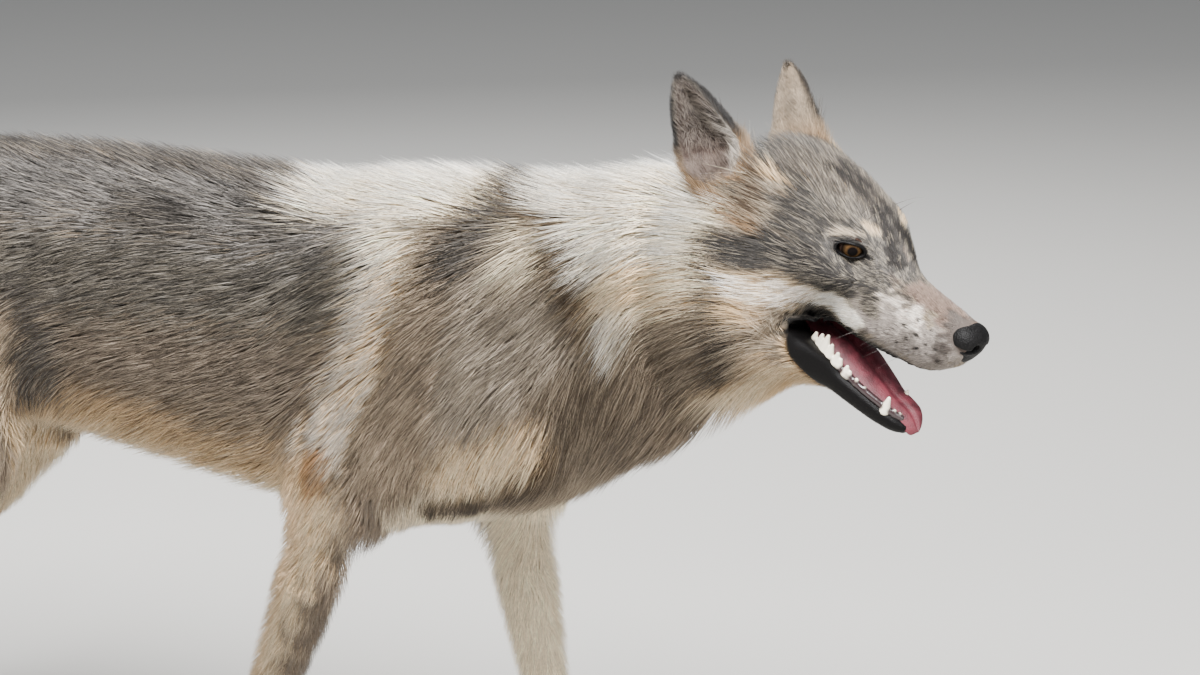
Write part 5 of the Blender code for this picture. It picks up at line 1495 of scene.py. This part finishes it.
def hairy(points: Array) -> Array:
    """How far the coat covers each place: 0 in the mouth, at the eyes and under the feet, 1 elsewhere."""
    local = HEAD.inside(points)
    cover = ramp(0.0015, 0.006, mouth_gap(points))
    cover = cover * ramp(0.0008, 0.005, opening_gap(points)) * ramp(-0.001, 0.005, lip_gap(points))
    nose = np.linalg.norm((local - (0.1245, 0, -0.016)) / (0.0150, 0.0195, 0.0165), axis=1)
    cover = cover * ramp(1.0, 1.25, nose)
    return cover * ramp(0.008, 0.014, points[:, 2])


def skin_colours(patch: Patch) -> Array:
    """The tint of each point of a patch's skin: the coat's colours darkened as painted shade under the hair,
    and bare dark places.
    """
    points = patch.skin.points
    if patch.ear:
        base, tip, _ = patch.ear.colours(points)
        # painted shade: the ear's skin takes 0.80 of its hair's colours
        return 0.75 * base + 0.05 * tip
    base, tip, _ = MARKINGS.at(points)
    # painted shade: the skin takes 0.62 of the coat's colours, darker where it lies deep under the hair
    colour = 0.62 * (0.6 * base + 0.4 * tip)
    mouth, eyes = mouth_gap(points), opening_gap(points)
    lips = np.maximum(1 - ramp(0.003, 0.0055, mouth), 1 - ramp(0.0, 0.004, lip_gap(points)))[:, None]
    colour = blend(colour, LIP_BLACK, lips)
    colour = blend(colour, MOUTH_DARK, (1 - ramp(-0.006, -0.001, mouth))[:, None])
    colour = blend(colour, LIP_BLACK, (1 - ramp(0.0024, 0.0045, eyes))[:, None])
    return blend(colour, BLACK, (1 - ramp(0.006, 0.013, points[:, 2]))[:, None])


@dataclass(frozen=True)
class Skin:
    """The one skin under the whole coat, with its unwrapped map."""

    nodes: tuple = ("head", "jaw", "neck", "torso", "rump", "tail") + tuple(
        part + side
        for part in ("foreleg", "forepaw", "hindleg", "hindpaw", "ear")
        for side in ("_left", "_right")
    )

    def build(self, patches: list[Patch]) -> list[Array]:
        """Makes the skin one object and unwraps it.

        Args:
            patches: the flesh's patches.

        Returns:
            For each patch, the map's places at its faces' corners.
        """
        whole = Mesh.joined([p.skin for p in patches])
        obj = whole.object("skin", SKIN.material())
        tint(obj, np.concatenate([skin_colours(p) for p in patches]))
        self.unwrap(obj)
        layer = obj.data.uv_layers["OFBake"]
        places = np.empty(whole.faces.size * 2, np.float32)
        layer.data.foreach_get("uv", places)
        dress(obj, SKIN, *self.nodes)
        ends = np.cumsum([len(p.skin.faces) for p in patches])[:-1]
        return np.split(places.reshape(-1, 4, 2), ends)

    def unwrap(self, obj: bpy.types.Object) -> None:
        """Lays the skin out flat in charts cut where it turns."""
        obj.data.uv_layers.new(name="OFBake")
        bpy.context.view_layer.objects.active = obj
        obj.select_set(True)
        bpy.ops.object.mode_set(mode="EDIT")
        bpy.ops.mesh.select_all(action="SELECT")
        bpy.ops.uv.smart_project(angle_limit=math.radians(66), island_margin=0.001)
        bpy.ops.object.mode_set(mode="OBJECT")
        obj.select_set(False)


@dataclass(frozen=True)
class Growth:
    """How a piece of coat is grown: layers deep, bent or straight hairs, how clumped, how stray, and
    how far the tips stand off."""

    layers: float
    bent: bool = True
    clump: float = 0.42
    stray: float = 0.09
    stand: float = 0.0


@dataclass(frozen=True)
class Region:
    """One piece of coat: the patches it grows on and the box, in the body's directions, that it fills."""

    name: str
    patches: tuple
    growth: Growth
    low: Triple = (-2, -2, -2)
    high: Triple = (2, 2, 2)


LEG_HAIR = (False, 0.25, 0.12)
REGIONS = (
    Region("fur_neck", ("body",), Growth(8.0), low=(0.150, -1, 0.30)),
    Region("fur_breast", ("body",), Growth(4.9), low=(0.050, -1, 0.400), high=(0.150, 1, 2)),
    Region("fur_shoulder", ("body",), Growth(4.3), low=(-0.050, -1, 0.400), high=(0.050, 1, 2)),
    Region("fur_trunk", ("body",), Growth(2.65), low=(-0.300, -1, 0.330), high=(-0.050, 1, 2)),
    Region("fur_loin", ("body",), Growth(2.85), low=(-0.500, -1, 0.390), high=(-0.300, 1, 2)),
    Region("fur_rump", ("body",), Growth(3.0), low=(-0.670, -1, 0.390), high=(-0.500, 1, 2)),
    Region("fur_tail", ("body",), Growth(6.0), low=(-2, -0.062, 0.220), high=(-0.670, 0.062, 2)),
    Region("fur_foreleg", ("body",), Growth(2.1, *LEG_HAIR), low=(-0.300, -1, 0.0), high=(0.300, 1, 0.400)),
    Region("fur_hindleg", ("body",), Growth(1.7, *LEG_HAIR), low=(-0.900, -1, 0.0), high=(-0.300, 1, 0.390)),
    Region("fur_feet", FEET, Growth(1.15, *LEG_HAIR)),
    Region("fur_head", ("head", "lids_right", "lids_left"), Growth(3.4, False, 0.20, 0.10)),
    Region("fur_ears", ("ear_right", "ear_left"), Growth(2.6, False, 0.30, 0.16, 1.0)),
)


CELL_KINDS = 8192
CELL_PRIMES = np.array((73856093, 19349663, 83492791))


def shuffle_of(points: Array, cell: float, seed: int) -> tuple[Array, Array]:
    """Gathers places into uneven cells.

    Args:
        points: places, one row each.
        cell: the cells' size in metres.
        seed: which set of cells.

    Returns:
        The middle of each place's cell, and four drawn values from 0 to 1 of that cell.
    """
    table = np.random.default_rng(seed).random((CELL_KINDS, 4))
    bent = points / cell + 0.35 * np.sin(points[:, [1, 2, 0]] * (5.1 / cell) + seed)
    whole = np.floor(bent).astype(np.int64)
    drawn = table[np.bitwise_xor.reduce(whole * CELL_PRIMES, axis=1) % CELL_KINDS]
    return (whole + 0.25 + 0.5 * drawn[:, :3]) * cell, drawn


@dataclass(frozen=True)
class Coating:
    """Grows the coat's hairs on the skin's patches, with the skin's map on each.

    A hair's width is thin + taper * length. It starts a root's depth under the skin, and its points
    stay over the floor by a clearance. Its map places lie within a spot's size of its root's.
    Hairs lean together in big clumps and in small ones, whose size is a share of their length.
    """

    patches: dict[str, Patch]
    maps: dict[str, Array]
    material: bpy.types.Material
    thin: float = 0.0006
    taper: float = 0.0054
    root: float = 0.0012
    clearance: float = 0.0012
    spot: float = 0.0015
    section: int = 3
    bent: tuple = ((0.0, -1.0, 1.0), (0.48, -0.42, 0.85), (1.0, 0.0, 0.0))
    straight: tuple = ((0.0, -1.0, 1.0), (1.0, 0.0, 0.0))
    big_clump: float = 0.034
    small_clump: float = 0.14
    least_clump: float = 0.003
    big_turn: float = 0.26
    small_turn: float = 0.16
    clump_lift: float = 0.70
    stray_lift: float = 0.16
    lengths: tuple = (0.70, 1.15)
    widths: tuple = (0.75, 1.25)
    brightness: tuple = (0.72, 1.26)
    brightest: float = 0.95

    def roots(self, patch: Patch, region: Region, draw: np.random.Generator) -> tuple[Array, Array]:
        """Draws the places where hairs start, denser where the hairs are small.

        Args:
            patch: the skin they start on.
            region: the piece of coat they belong to.
            draw: the source of chance.

        Returns:
            The places, and their places on the skin's map.
        """
        corners = patch.skin.points[patch.skin.faces]
        maps = self.maps[patch.name]
        tri = np.concatenate([corners[:, [0, 1, 2]], corners[:, [0, 2, 3]]])
        uv = np.concatenate([maps[:, [0, 1, 2]], maps[:, [0, 2, 3]]])
        middle = tri.mean(1)
        keep = ((middle > region.low) & (middle < region.high)).all(1)
        tri, uv, middle = tri[keep], uv[keep], middle[keep]
        area = np.linalg.norm(np.cross(tri[:, 1] - tri[:, 0], tri[:, 2] - tri[:, 0]), axis=1) / 2
        length, width = self.sizes(patch, middle)
        share = area * region.growth.layers / (0.5 * length * width)
        share *= self.cover(patch, middle)
        ends = np.cumsum(share)
        count = int(ends[-1])
        picked = np.searchsorted(ends, (np.arange(count) + draw.random(count)) * ends[-1] / count)
        picked = np.minimum(picked, len(ends) - 1)
        a, b = draw.random((2, count))
        flip = a + b > 1
        a, b = np.where(flip, 1 - a, a), np.where(flip, 1 - b, b)
        weights = np.stack([1 - a - b, a, b], 1)
        return (weights[:, :, None] * tri[picked]).sum(1), (weights[:, :, None] * uv[picked]).sum(1)

    def cover(self, patch: Patch, points: Array) -> Array:
        """How thickly hairs stand at each place, 0 to 1."""
        if patch.ear:
            return np.ones(len(points))
        return np.where(hairy(points) > 0.08, np.maximum(hairy(points), 0.3), 0)

    def sizes(self, patch: Patch, points: Array) -> tuple[Array, Array]:
        """Length and width of the hairs at some places."""
        if patch.ear:
            length = patch.ear.hair(points)[0]
        else:
            length = COAT.at(points)[2] * (0.35 + 0.65 * hairy(points))
        return length, self.thin + self.taper * length

    def lie(self, patch: Patch, points: Array) -> tuple[Array, Array]:
        """The coat's depth and the way it lies at some places."""
        return patch.ear.hair(points)[1:] if patch.ear else COAT.at(points)[:2]

    def colours(self, patch: Patch, points: Array) -> tuple[Array, Array, Array]:
        """Own colour, tip colour and share of dark hairs at some places."""
        if patch.ear:
            return patch.ear.colours(points)
        base, tip, pepper = MARKINGS.at(points)
        lips = np.maximum(1 - ramp(0.004, 0.0065, mouth_gap(points)), 1 - ramp(0.002, 0.007, lip_gap(points)))
        dark = np.maximum(lips, 1 - ramp(0.0030, 0.0050, opening_gap(points)))[:, None]
        return blend(base, BLACK, dark), blend(tip, BLACK, dark), pepper

    def grow(self, patch: Patch, region: Region, draw: np.random.Generator) -> dict[str, Array]:
        """Hairs of one region on one patch.

        Each hair is a spike with a three-cornered section. It starts under the skin, follows the
        lie of the coat turned a little by chance and by its clump, and rises so that its tip
        reaches the coat's outside. A clump's tips are drawn towards the clump's middle.

        Args:
            patch: the skin they start on.
            region: the piece of coat they belong to.
            draw: the source of chance.

        Returns:
            Points, faces, colours and map places of the hairs.
        """
        growth = region.growth
        at, uv = self.roots(patch, region, draw)
        count = len(at)
        length, width = self.sizes(patch, at)
        length = length * draw.uniform(*self.lengths, count)
        width = width * draw.uniform(*self.widths, count)
        big, big_draw = shuffle_of(at, self.big_clump, 5)
        small_size = np.maximum(self.least_clump, self.small_clump * np.median(length))
        small, small_draw = shuffle_of(at, small_size, 6)
        turn = draw.normal(0, growth.stray, count) + self.big_turn * (big_draw[:, 3] - 0.5)
        turn = turn + self.small_turn * (small_draw[:, 3] - 0.5)
        lift = self.clump_lift * (small_draw[:, 0] - 0.5) + draw.normal(0, self.stray_lift, count)
        volume = patch.outer
        here, travelled, rings = at, 0.0, []
        depth, _ = self.lie(patch, at)
        pull = growth.clump * (0.6 * (small - at) + 0.35 * (big - at))
        for along, height, wide in self.bent if growth.bent else self.straight:
            normal = volume.away(here, patch.step)
            _, heading = self.lie(patch, here)
            heading = unit(heading - (heading * normal).sum(1)[:, None] * normal)
            heading = unit(heading + turn[:, None] * np.cross(normal, heading))
            if along > 0:
                flat = pull - (pull * normal).sum(1)[:, None] * normal
                short = np.minimum(1, 0.35 * length / np.maximum(np.linalg.norm(flat, axis=1), 1e-6))
                run = along - travelled
                here = here + (run * length)[:, None] * heading + run * flat * short[:, None]
                rise = depth * (height + (0.30 * lift - 0.10 + growth.stand) * along)
                here = volume.settle(here, np.minimum(rise, (0.10 + growth.stand) * depth + 0.0015))
            else:
                here = here - self.root * normal
            travelled = along
            if wide == 0:
                rings.append(here[:, None])
                continue
            normal = volume.away(here, patch.step)
            across = unit(np.cross(normal, heading))
            half, thick = (wide * width / 2)[:, None], (0.45 * wide * width)[:, None]
            rings.append(np.stack([here + half * across, here + thick * normal, here - half * across], 1))
        points = np.concatenate(rings, 1)
        points[:, :, 2] = np.maximum(points[:, :, 2], self.clearance)
        shown = 0.35 * points[:, -4] + 0.65 * points[:, -1]
        colours = self.shade(patch, shown, small_draw, points.shape[1], draw)
        return {"points": points, "colours": colours, "uv": uv}

    def shade(self, patch: Patch, at: Array, clump: Array, corners: int, draw: np.random.Generator) -> Array:
        """Colours of each hair's points, from a root darkened as painted shade to a light or dark tip.

        Args:
            patch: the skin the hairs start on.
            at: the place where each hair shows.
            clump: drawn values of each hair's clump.
            corners: points in each hair.
            draw: the source of chance.

        Returns:
            One colour for each point of each hair.
        """
        base, tip, pepper = self.colours(patch, at)
        fields = 0.5 + 0.5 * wobble(at, 0.016, 9)
        chance = 0.45 * draw.random(len(at)) + 0.35 * clump[:, 1] + 0.20 * fields
        dark = (chance < 0.12 + 0.84 * pepper)[:, None] & (pepper > 0.005)[:, None]
        light = blend(base, CREAM, 0.28)
        pale = np.where(pepper[:, None] > 0.3, light, tip)
        end = np.where(dark, np.minimum(tip, base * 0.35), pale)
        bright = draw.uniform(*self.brightness, len(at))[:, None] * (0.85 + 0.32 * clump[:, 2:3])
        # painted shade: each hair's root takes 0.55 of its own colour, standing for the shade deep in the
        # coat
        root, own, end = (np.minimum(colour * bright, self.brightest) for colour in (0.55 * base, base, end))
        if corners > self.section + 1:
            parts = [root] * self.section + [np.where(dark, 0.75 * own, own)] * self.section + [end]
        else:
            # painted shade: a straight hair's lower points take 0.80 of its own colour
            parts = [0.80 * own] * self.section + [end]
        return np.stack(parts, 1)

    def build(self, region: Region, seed: int) -> bpy.types.Object:
        """One piece of coat as an object."""
        draw = np.random.default_rng(seed)
        grown = [self.grow(self.patches[name], region, draw) for name in region.patches]
        points = np.concatenate([g["points"] for g in grown])
        colours = np.concatenate([g["colours"] for g in grown])
        root = np.concatenate([g["uv"] for g in grown])
        count, corners = points.shape[:2]
        faces = spike_faces(corners)
        offsets = corners * np.arange(count)[:, None, None]
        whole = Mesh(points.reshape(-1, 3), (faces[None] + offsets).reshape(-1, 3))
        obj = whole.object(region.name, self.material)
        tint(obj, colours.reshape(-1, 3))
        spot = np.array([(-1, -1), (0, -1), (1, -1), (-1, 0), (0, 0), (1, 0), (0, 1)])
        spot = spot if corners == len(spot) else spot[[0, 1, 2, 6]]
        places = root[:, None, :] + self.spot * spot[None]
        set_map(obj, "OFBake", np.clip(places, 0, 1).reshape(-1, 2)[whole.faces.ravel()])
        return dress(obj, FUR)


def spike_faces(corners: int) -> Array:
    """Faces of a spike with one or two three-cornered rings and a tip, open at its root."""
    faces = []
    for ring in range((corners - 1) // 3 - 1):
        for n in range(3):
            a, b = 3 * ring + n, 3 * ring + (n + 1) % 3
            faces += [(a, b, b + 3), (a, b + 3, a + 3)]
    last, tip = corners - 4, corners - 1
    return np.array(faces + [(last + n, last + (n + 1) % 3, tip) for n in range(3)])


@dataclass(frozen=True)
class Eye:
    """One eye: a ball with a bulging cornea, turned to look ahead and out."""

    side: int
    radius: float = 0.0124
    bulge: float = 0.0011
    gaze: Triple = (0.62, 0.78, 0.03)

    def build(self) -> bpy.types.Object:
        """The radius grows by bulge * (1 - (a/0.75)^2)^2 within 0.75 rad of the line of sight."""
        sight = unit(HEAD.rows.T @ np.array((self.gaze[0], self.side * self.gaze[1], self.gaze[2])))
        across = unit(np.cross(sight, (0, 0, 1)))
        up = np.cross(across, sight)
        angle, turn = np.linspace(0, math.pi, 49)[:, None], np.linspace(0, 2 * math.pi, 65)[None, :-1]
        radius = self.radius + self.bulge * np.maximum(1 - (angle / 0.75) ** 2, 0) ** 2
        ring = np.sin(angle)[..., None] * (np.cos(turn)[..., None] * across + np.sin(turn)[..., None] * up)
        centre = HEAD.world(SKULL.eye_centre(self.side))
        points = centre + radius[..., None] * (np.cos(angle)[..., None] * sight + ring)
        mesh = grid_mesh(points, wrap=True)
        name = "eye_left" if self.side > 0 else "eye_right"
        obj = mesh.object(name + "_ball", EYE.material())
        rows = np.repeat(np.linspace(0, 1, 49), 64)
        columns = np.tile(np.arange(64) / 64, 49)
        places = np.stack([rows[mesh.faces], columns[mesh.faces]], -1)
        wrapped = mesh.faces % 64
        seam = (wrapped.max(1) == 63) & (wrapped.min(1) == 0)
        places[..., 1] = np.where(seam[:, None] & (wrapped == 0), 1.0, places[..., 1])
        set_map(obj, "Round", places.reshape(-1, 2))
        return dress(obj, EYE, name)


@dataclass(frozen=True)
class Nose:
    """The nose leather with its two nostrils and their side slits."""

    cell: float = 0.0008

    def build(self) -> bpy.types.Object:
        """Melts the pad and wings together and cuts the nostrils, the slits and the middle groove."""
        volume = window((0.100, -0.028, -0.045), (0.150, 0.028, 0.012), self.cell, HEAD)
        volume.add(Ball((0.1245, 0, -0.0140), (0.0150, 0.0185, 0.0135), HEAD), 0.004)
        volume.add(Ball((0.1255, 0, -0.0260), (0.0100, 0.0125, 0.0120), HEAD), 0.008)
        for side in (-1, 1):
            volume.add(Ball((0.1230, side * 0.0110, -0.0160), (0.0120, 0.0085, 0.0100), HEAD), 0.006)
            hole = (0.146, side * 0.0075, -0.0160), (0.126, side * 0.0085, -0.0150)
            slit = (0.136, side * 0.0120, -0.0190), (0.125, side * 0.0195, -0.0215)
            volume.carve(Limb(*hole, 0.0040, 0.0044, place=HEAD), 0.002)
            volume.carve(Limb(*slit, 0.0022, 0.0020, place=HEAD), 0.0015)
        volume.carve(Limb((0.1405, 0, -0.0150), (0.1345, 0, -0.0330), 0.0007, 0.0007, place=HEAD), 0.001)
        obj = Mesh(*volume.surface()).object("nose_pad", NOSE.material())
        return dress(obj, NOSE, "nose")


@dataclass(frozen=True)
class Tongue:
    """The tongue: broad and grooved, out over the lower front teeth, with its tip hanging a little.

    Each section is (along, aside, up, half width, thickness) in millimetres, and its tilt.
    """

    sections: tuple = (
        (-30, 0, -90.5, 14, 11, 0.00),
        (0, 0, -88, 18, 12, 0.16),
        (30, 1, -89.5, 20.5, 12, 0.28),
        (50, 2, -94, 20.8, 11, 0.30),
        (74, 2.5, -101, 19.5, 9.5, 0.24),
        (90, 3, -105.6, 17.2, 7, 0.18),
        (101, 3.5, -106.8, 15.5, 5.2, 0.24),
        (112, 4, -109.2, 13.2, 4.4, 0.36),
        (119.5, 3.5, -113.5, 10, 4, 0.42),
        (124, 3, -117.5, 6, 3.4, 0.42),
        (125.8, 3, -119.5, 0.6, 1, 0.42),
    )
    groove: float = 0.0026

    def build(self) -> bpy.types.Object:
        """Sweeps a flat oval: up falls as |s|^3 to each side and dips by groove * exp(-(s/0.16)^2)."""
        table = np.array(self.sections, float)
        table[:, :-1] /= 1000
        at = np.linspace(0, 1, 96)
        knots = np.cumsum(np.r_[0, np.linalg.norm(np.diff(table[:, :4], axis=0), axis=1)])
        along, aside, up, half, thick, tilt = (np.interp(at, knots / knots[-1], c)[:, None] for c in table.T)
        for _ in range(6):
            along, aside, up, half, tilt = (
                np.vstack([c[:1], (c[:-2] + 2 * c[1:-1] + c[2:]) / 4, c[-1:]])
                for c in (along, aside, up, half, tilt)
            )
        turn = np.linspace(0, 2 * math.pi, 65)[None, :-1]
        s = np.cos(turn)
        body = ramp(0.0, 0.008, half)
        top = up + tilt * half * s - body * (0.0028 * np.abs(s) ** 3 - 0.0010 * s)
        dip = self.groove * body * np.exp(-((s / 0.16) ** 2)) * (np.sin(turn) > 0)
        high = top - dip - thick * (1 - np.sin(turn)) / 2
        points = np.stack([along + 0 * s, aside + half * s, high], -1)
        obj = grid_mesh(HEAD.world(points), wrap=True).object("tongue_blade", TONGUE.material())
        return dress(obj, TONGUE, "tongue")


@dataclass(frozen=True)
class LowerTeeth:
    """The lower gum, bent round the chin, with its teeth.

    In millimetres: the gum's line, and (along, out, up, height, radius) of each tooth.
    """

    cell: float = 0.0008
    arch: tuple = (
        (7, 25.5, -101.2), (35, 23.8, -105.5), (70, 19.8, -110.5), (96, 12.8, -114),
        (107.5, 6, -116.5), (109.5, 0, -117.2),
    )
    gum: float = 0.0034
    teeth: tuple = (
        (8, 25.6, -100, 6.8, 3.4),
        (14.5, 25.6, -101, 10.5, 4.4),
        (20.5, 25.6, -101.5, 14, 5.6),
        (27.2, 25.2, -102.5, 9.8, 5),
        (35.5, 24.6, -104.5, 8.8, 4.4),
        (40, 24.2, -105.2, 6.2, 3.6),
        (48.5, 23.4, -107.6, 7, 4),
        (52.5, 23, -108.2, 4.8, 3.2),
        (61, 21.8, -109.8, 4.2, 2.7),
        (70.5, 20.2, -111.2, 3, 2.2),
        (94.5, 14, -116.5, 13.5, 5),
        (102, 10, -117.2, 5.2, 2.7),
        (106.2, 6.4, -118, 4.8, 2.4),
        (108.2, 2.2, -118.4, 4.6, 2.2),
    )
    enamel: Triple = linear(222, 213, 192)
    flesh: Triple = linear(38, 25, 26)

    def build(self) -> bpy.types.Object:
        """Rods along the arch for the gum, and a blunt cone for each tooth."""
        volume = window((-0.006, -0.036, -0.128), (0.122, 0.036, -0.088), self.cell, HEAD)
        arch = [(x, -y, z) for x, y, z in metres(self.arch[:-1])] + list(metres(self.arch[::-1]))
        gum = Chain([HEAD.world(p) for p in arch], [self.gum] * len(arch), pieces=36)
        volume.add(gum, 0.001)
        for side in (-1, 1):
            for x, out, base, tall, wide in metres(self.teeth):
                tip = (x - 0.10 * tall, side * (out + 0.12 * tall), base + tall)
                volume.add(Limb((x, side * out, base), tip, wide, 0.0017, place=HEAD), 0.0018)
        mesh = Mesh(*volume.surface())
        obj = mesh.object("teeth_and_gum", TOOTH.material())
        bare = ramp(0.0003, 0.0016, gum.distance(*mesh.points.T))[:, None]
        tint(obj, blend(self.flesh, self.enamel, bare))
        return dress(obj, TOOTH, "lower_teeth")


def tube(middle: Array, radius: Array, turn: Array, across: Array, up: Array) -> Mesh:
    """A tapered tube round a middle line, oval across and up."""
    return grid_mesh(middle + radius * (np.cos(turn) * across + np.sin(turn) * up), wrap=True)


@dataclass(frozen=True)
class Claws:
    """A blunt curved claw for each toe."""

    length: float = 0.0205
    radius: float = 0.0040
    drop: float = 0.0125

    def build(self) -> bpy.types.Object:
        """Each claw is a ring of radius (1 - t)^0.6 swept forward from its toe and down as t^2."""
        parts = []
        t = np.linspace(0, 1, 9)[:, None, None]
        turn = np.linspace(0, 2 * math.pi, 13)[None, :-1, None]
        for leg in FORELEGS + HINDLEGS:
            for root, tip in leg.foot().toes():
                aim = unit((np.array(tip) - np.array(root)) * (1, 1, 0))
                across, up = np.array((-aim[1], aim[0], 0)), np.array((0, 0, 1.0))
                middle = np.array(tip) + (0.007 + self.length * t) * aim + (0.004 - self.drop * t**2) * up
                radius = self.radius * np.maximum(1 - t, 0.004) ** 0.6
                parts.append(tube(middle, radius, turn, 0.75 * across, up))
        obj = Mesh.joined(parts).object("claws", HORN.material())
        return dress(obj, HORN)


@dataclass(frozen=True)
class Whiskers:
    """Fine curved whiskers over the eyes and in rows, given in millimetres, on the muzzle."""

    rows: tuple = (
        ((70, -40), (85, -39), (100, -37)),
        ((60, -47), (76, -46), (91, -44), (105, -41)),
        ((52, -54), (68, -53), (83, -51), (98, -47)),
    )
    length: float = 0.042
    radius: float = 0.00028

    def build(self, head: Patch) -> bpy.types.Object:
        """Each whisker runs out and back from its spot and droops as the square of its length."""
        draw = np.random.default_rng(SEED + 40)
        parts = []
        t = np.linspace(0, 1, 8)[:, None, None]
        turn = np.linspace(0, 2 * math.pi, 5)[None, :-1, None]
        for side in (-1, 1):
            spots = [(x, side * 0.05, z) for row in self.rows for x, z in metres(row)]
            aims = [(-0.35, side * 0.85, -0.12)] * len(spots)
            spots += [(0.002, side * 0.030, 0.040), (-0.006, side * 0.034, 0.040)]
            aims += [(0.35, side * 0.35, 0.85)] * 2
            start = HEAD.world(np.array(spots))
            for _ in range(12):
                start = start - head.outer.at(start)[:, None] * head.outer.away(start)
            for place, aim in zip(start, aims):
                way = unit(np.array(aim) + draw.normal(0, 0.10, 3)) @ HEAD.rows
                across = unit(np.cross(way, (0, 0, 1.0)))
                up = np.cross(across, way)
                size = self.length * draw.uniform(0.55, 1.0)
                middle = place - 0.001 * way + size * t * way + size * t**2 * np.array((-0.10, 0, -0.22))
                parts.append(tube(middle, self.radius * np.maximum(1 - t, 0.03), turn, across, up))
        obj = Mesh.joined(parts).object("whiskers", WHISKER.material())
        return dress(obj, WHISKER)


@dataclass(frozen=True)
class Studio:
    """Pale floor, soft lights, and the camera at the photo's angle.

    The camera stands at a height, away from the wolf and aside of it, and looks down by drop.
    In the photo's pixels, focal is its focal length, horizon is how far the horizon lies above the
    photo's middle, and wide is the photo's width.
    """

    azimuth: float = math.radians(28)
    height: float = 1.30
    away: float = 3.25
    aside: float = 0.1564
    focal: float = 3533.0
    horizon: float = 807.5
    wide: float = 1200.0
    drop: float = math.atan(horizon / focal)
    sensor: float = 36.0
    lens: float = sensor * focal / wide
    lights: tuple = (
        ("key", (1.0, -2.0, 3.6), 2.2, 900.0),
        ("fill", (3.0, -0.6, 1.6), 2.0, 60.0),
        ("back", (-1.8, 2.2, 2.8), 2.0, 220.0),
    )
    sky: tuple = (0.80, 0.86, 0.95, 1)
    sky_strength: float = 0.38

    def build(self) -> None:
        """Makes everything round the wolf."""
        self.floor()
        for light in self.lights:
            self.light(*light)
        world = bpy.data.worlds.new("world")
        world.use_nodes = True
        sky = world.node_tree.nodes["Background"].inputs
        sky["Color"].default_value, sky["Strength"].default_value = self.sky, self.sky_strength
        bpy.context.scene.world = world
        self.camera()

    def ways(self) -> tuple[Array, Array]:
        """The level directions ahead of the camera and to its right."""
        cos, sin = math.cos(self.azimuth), math.sin(self.azimuth)
        return np.array((-sin, cos, 0)), np.array((cos, sin, 0))

    def floor(self) -> None:
        """A wide floor that curves up into a backdrop far behind."""
        t = np.linspace(0, math.pi / 2, 13)
        run = np.concatenate([[-14.0], 9 + 5 * np.sin(t)])
        rise = np.concatenate([[0.0], 5 - 5 * np.cos(t)])
        side = np.array([-20.0, 20.0])
        points = np.empty((len(run), 2, 3))
        way, across = self.ways()
        points[:] = run[:, None, None] * way + side[None, :, None] * across
        points[:, :, 2] = rise[:, None] - 0.0005
        floor = grid_mesh(points[:, ::-1]).object("floor", FLOOR.material())

    def light(self, name: str, place: Triple, size: float, power: float) -> None:
        """A square soft light aimed at the wolf's shoulder."""
        data = bpy.data.lights.new(name, "AREA")
        data.size, data.energy = size, power
        obj = bpy.data.objects.new(name, data)
        aim = np.array((0.1, 0, 0.55)) - np.array(place)
        back = -unit(aim)
        right = unit(np.cross((0, 0, 1.0), back))
        obj.matrix_world = placed(right, np.cross(back, right), back, np.array(place))
        bpy.context.scene.collection.objects.link(obj)

    def camera(self) -> None:
        """The camera, level across, looking a little down."""
        way, right = self.ways()
        place = np.array((0, 0, self.height)) - self.away * way + self.aside * right + ORIGIN_SHIFT
        ahead = way * math.cos(self.drop) - np.array((0, 0, math.sin(self.drop)))
        data = bpy.data.cameras.new("camera")
        data.sensor_width, data.lens = self.sensor, self.lens
        obj = bpy.data.objects.new("camera", data)
        obj.matrix_world = placed(right, np.cross(right, ahead), -ahead, place)
        bpy.context.scene.collection.objects.link(obj)
        bpy.context.scene.camera = obj


def placed(right: Array, up: Array, back: Array, place: Array) -> Matrix:
    """The matrix of an object with three directions and a place."""
    table = np.eye(4)
    table[:3, 0], table[:3, 1], table[:3, 2], table[:3, 3] = right, up, back, place
    return Matrix(table.tolist())


def main() -> None:
    """Builds the wolf and its studio."""
    logging.basicConfig(level=logging.INFO, stream=sys.stdout, format="%(relativeCreated)d ms %(message)s")
    patches = Flesh().patches()
    LOG.info("flesh: %s", {p.name: len(p.skin.faces) for p in patches})
    maps = Skin().build(patches)
    named = {p.name: p for p in patches}
    for side in (-1, 1):
        Eye(side).build()
    Nose().build()
    Tongue().build()
    LowerTeeth().build()
    Claws().build()
    Whiskers().build(named["head"])
    coat = Coating(named, dict(zip(named, maps)), FUR.material())
    for number, region in enumerate(REGIONS):
        coat.build(region, SEED + number)
    Studio().build()


if __name__ == "__main__":
    main()
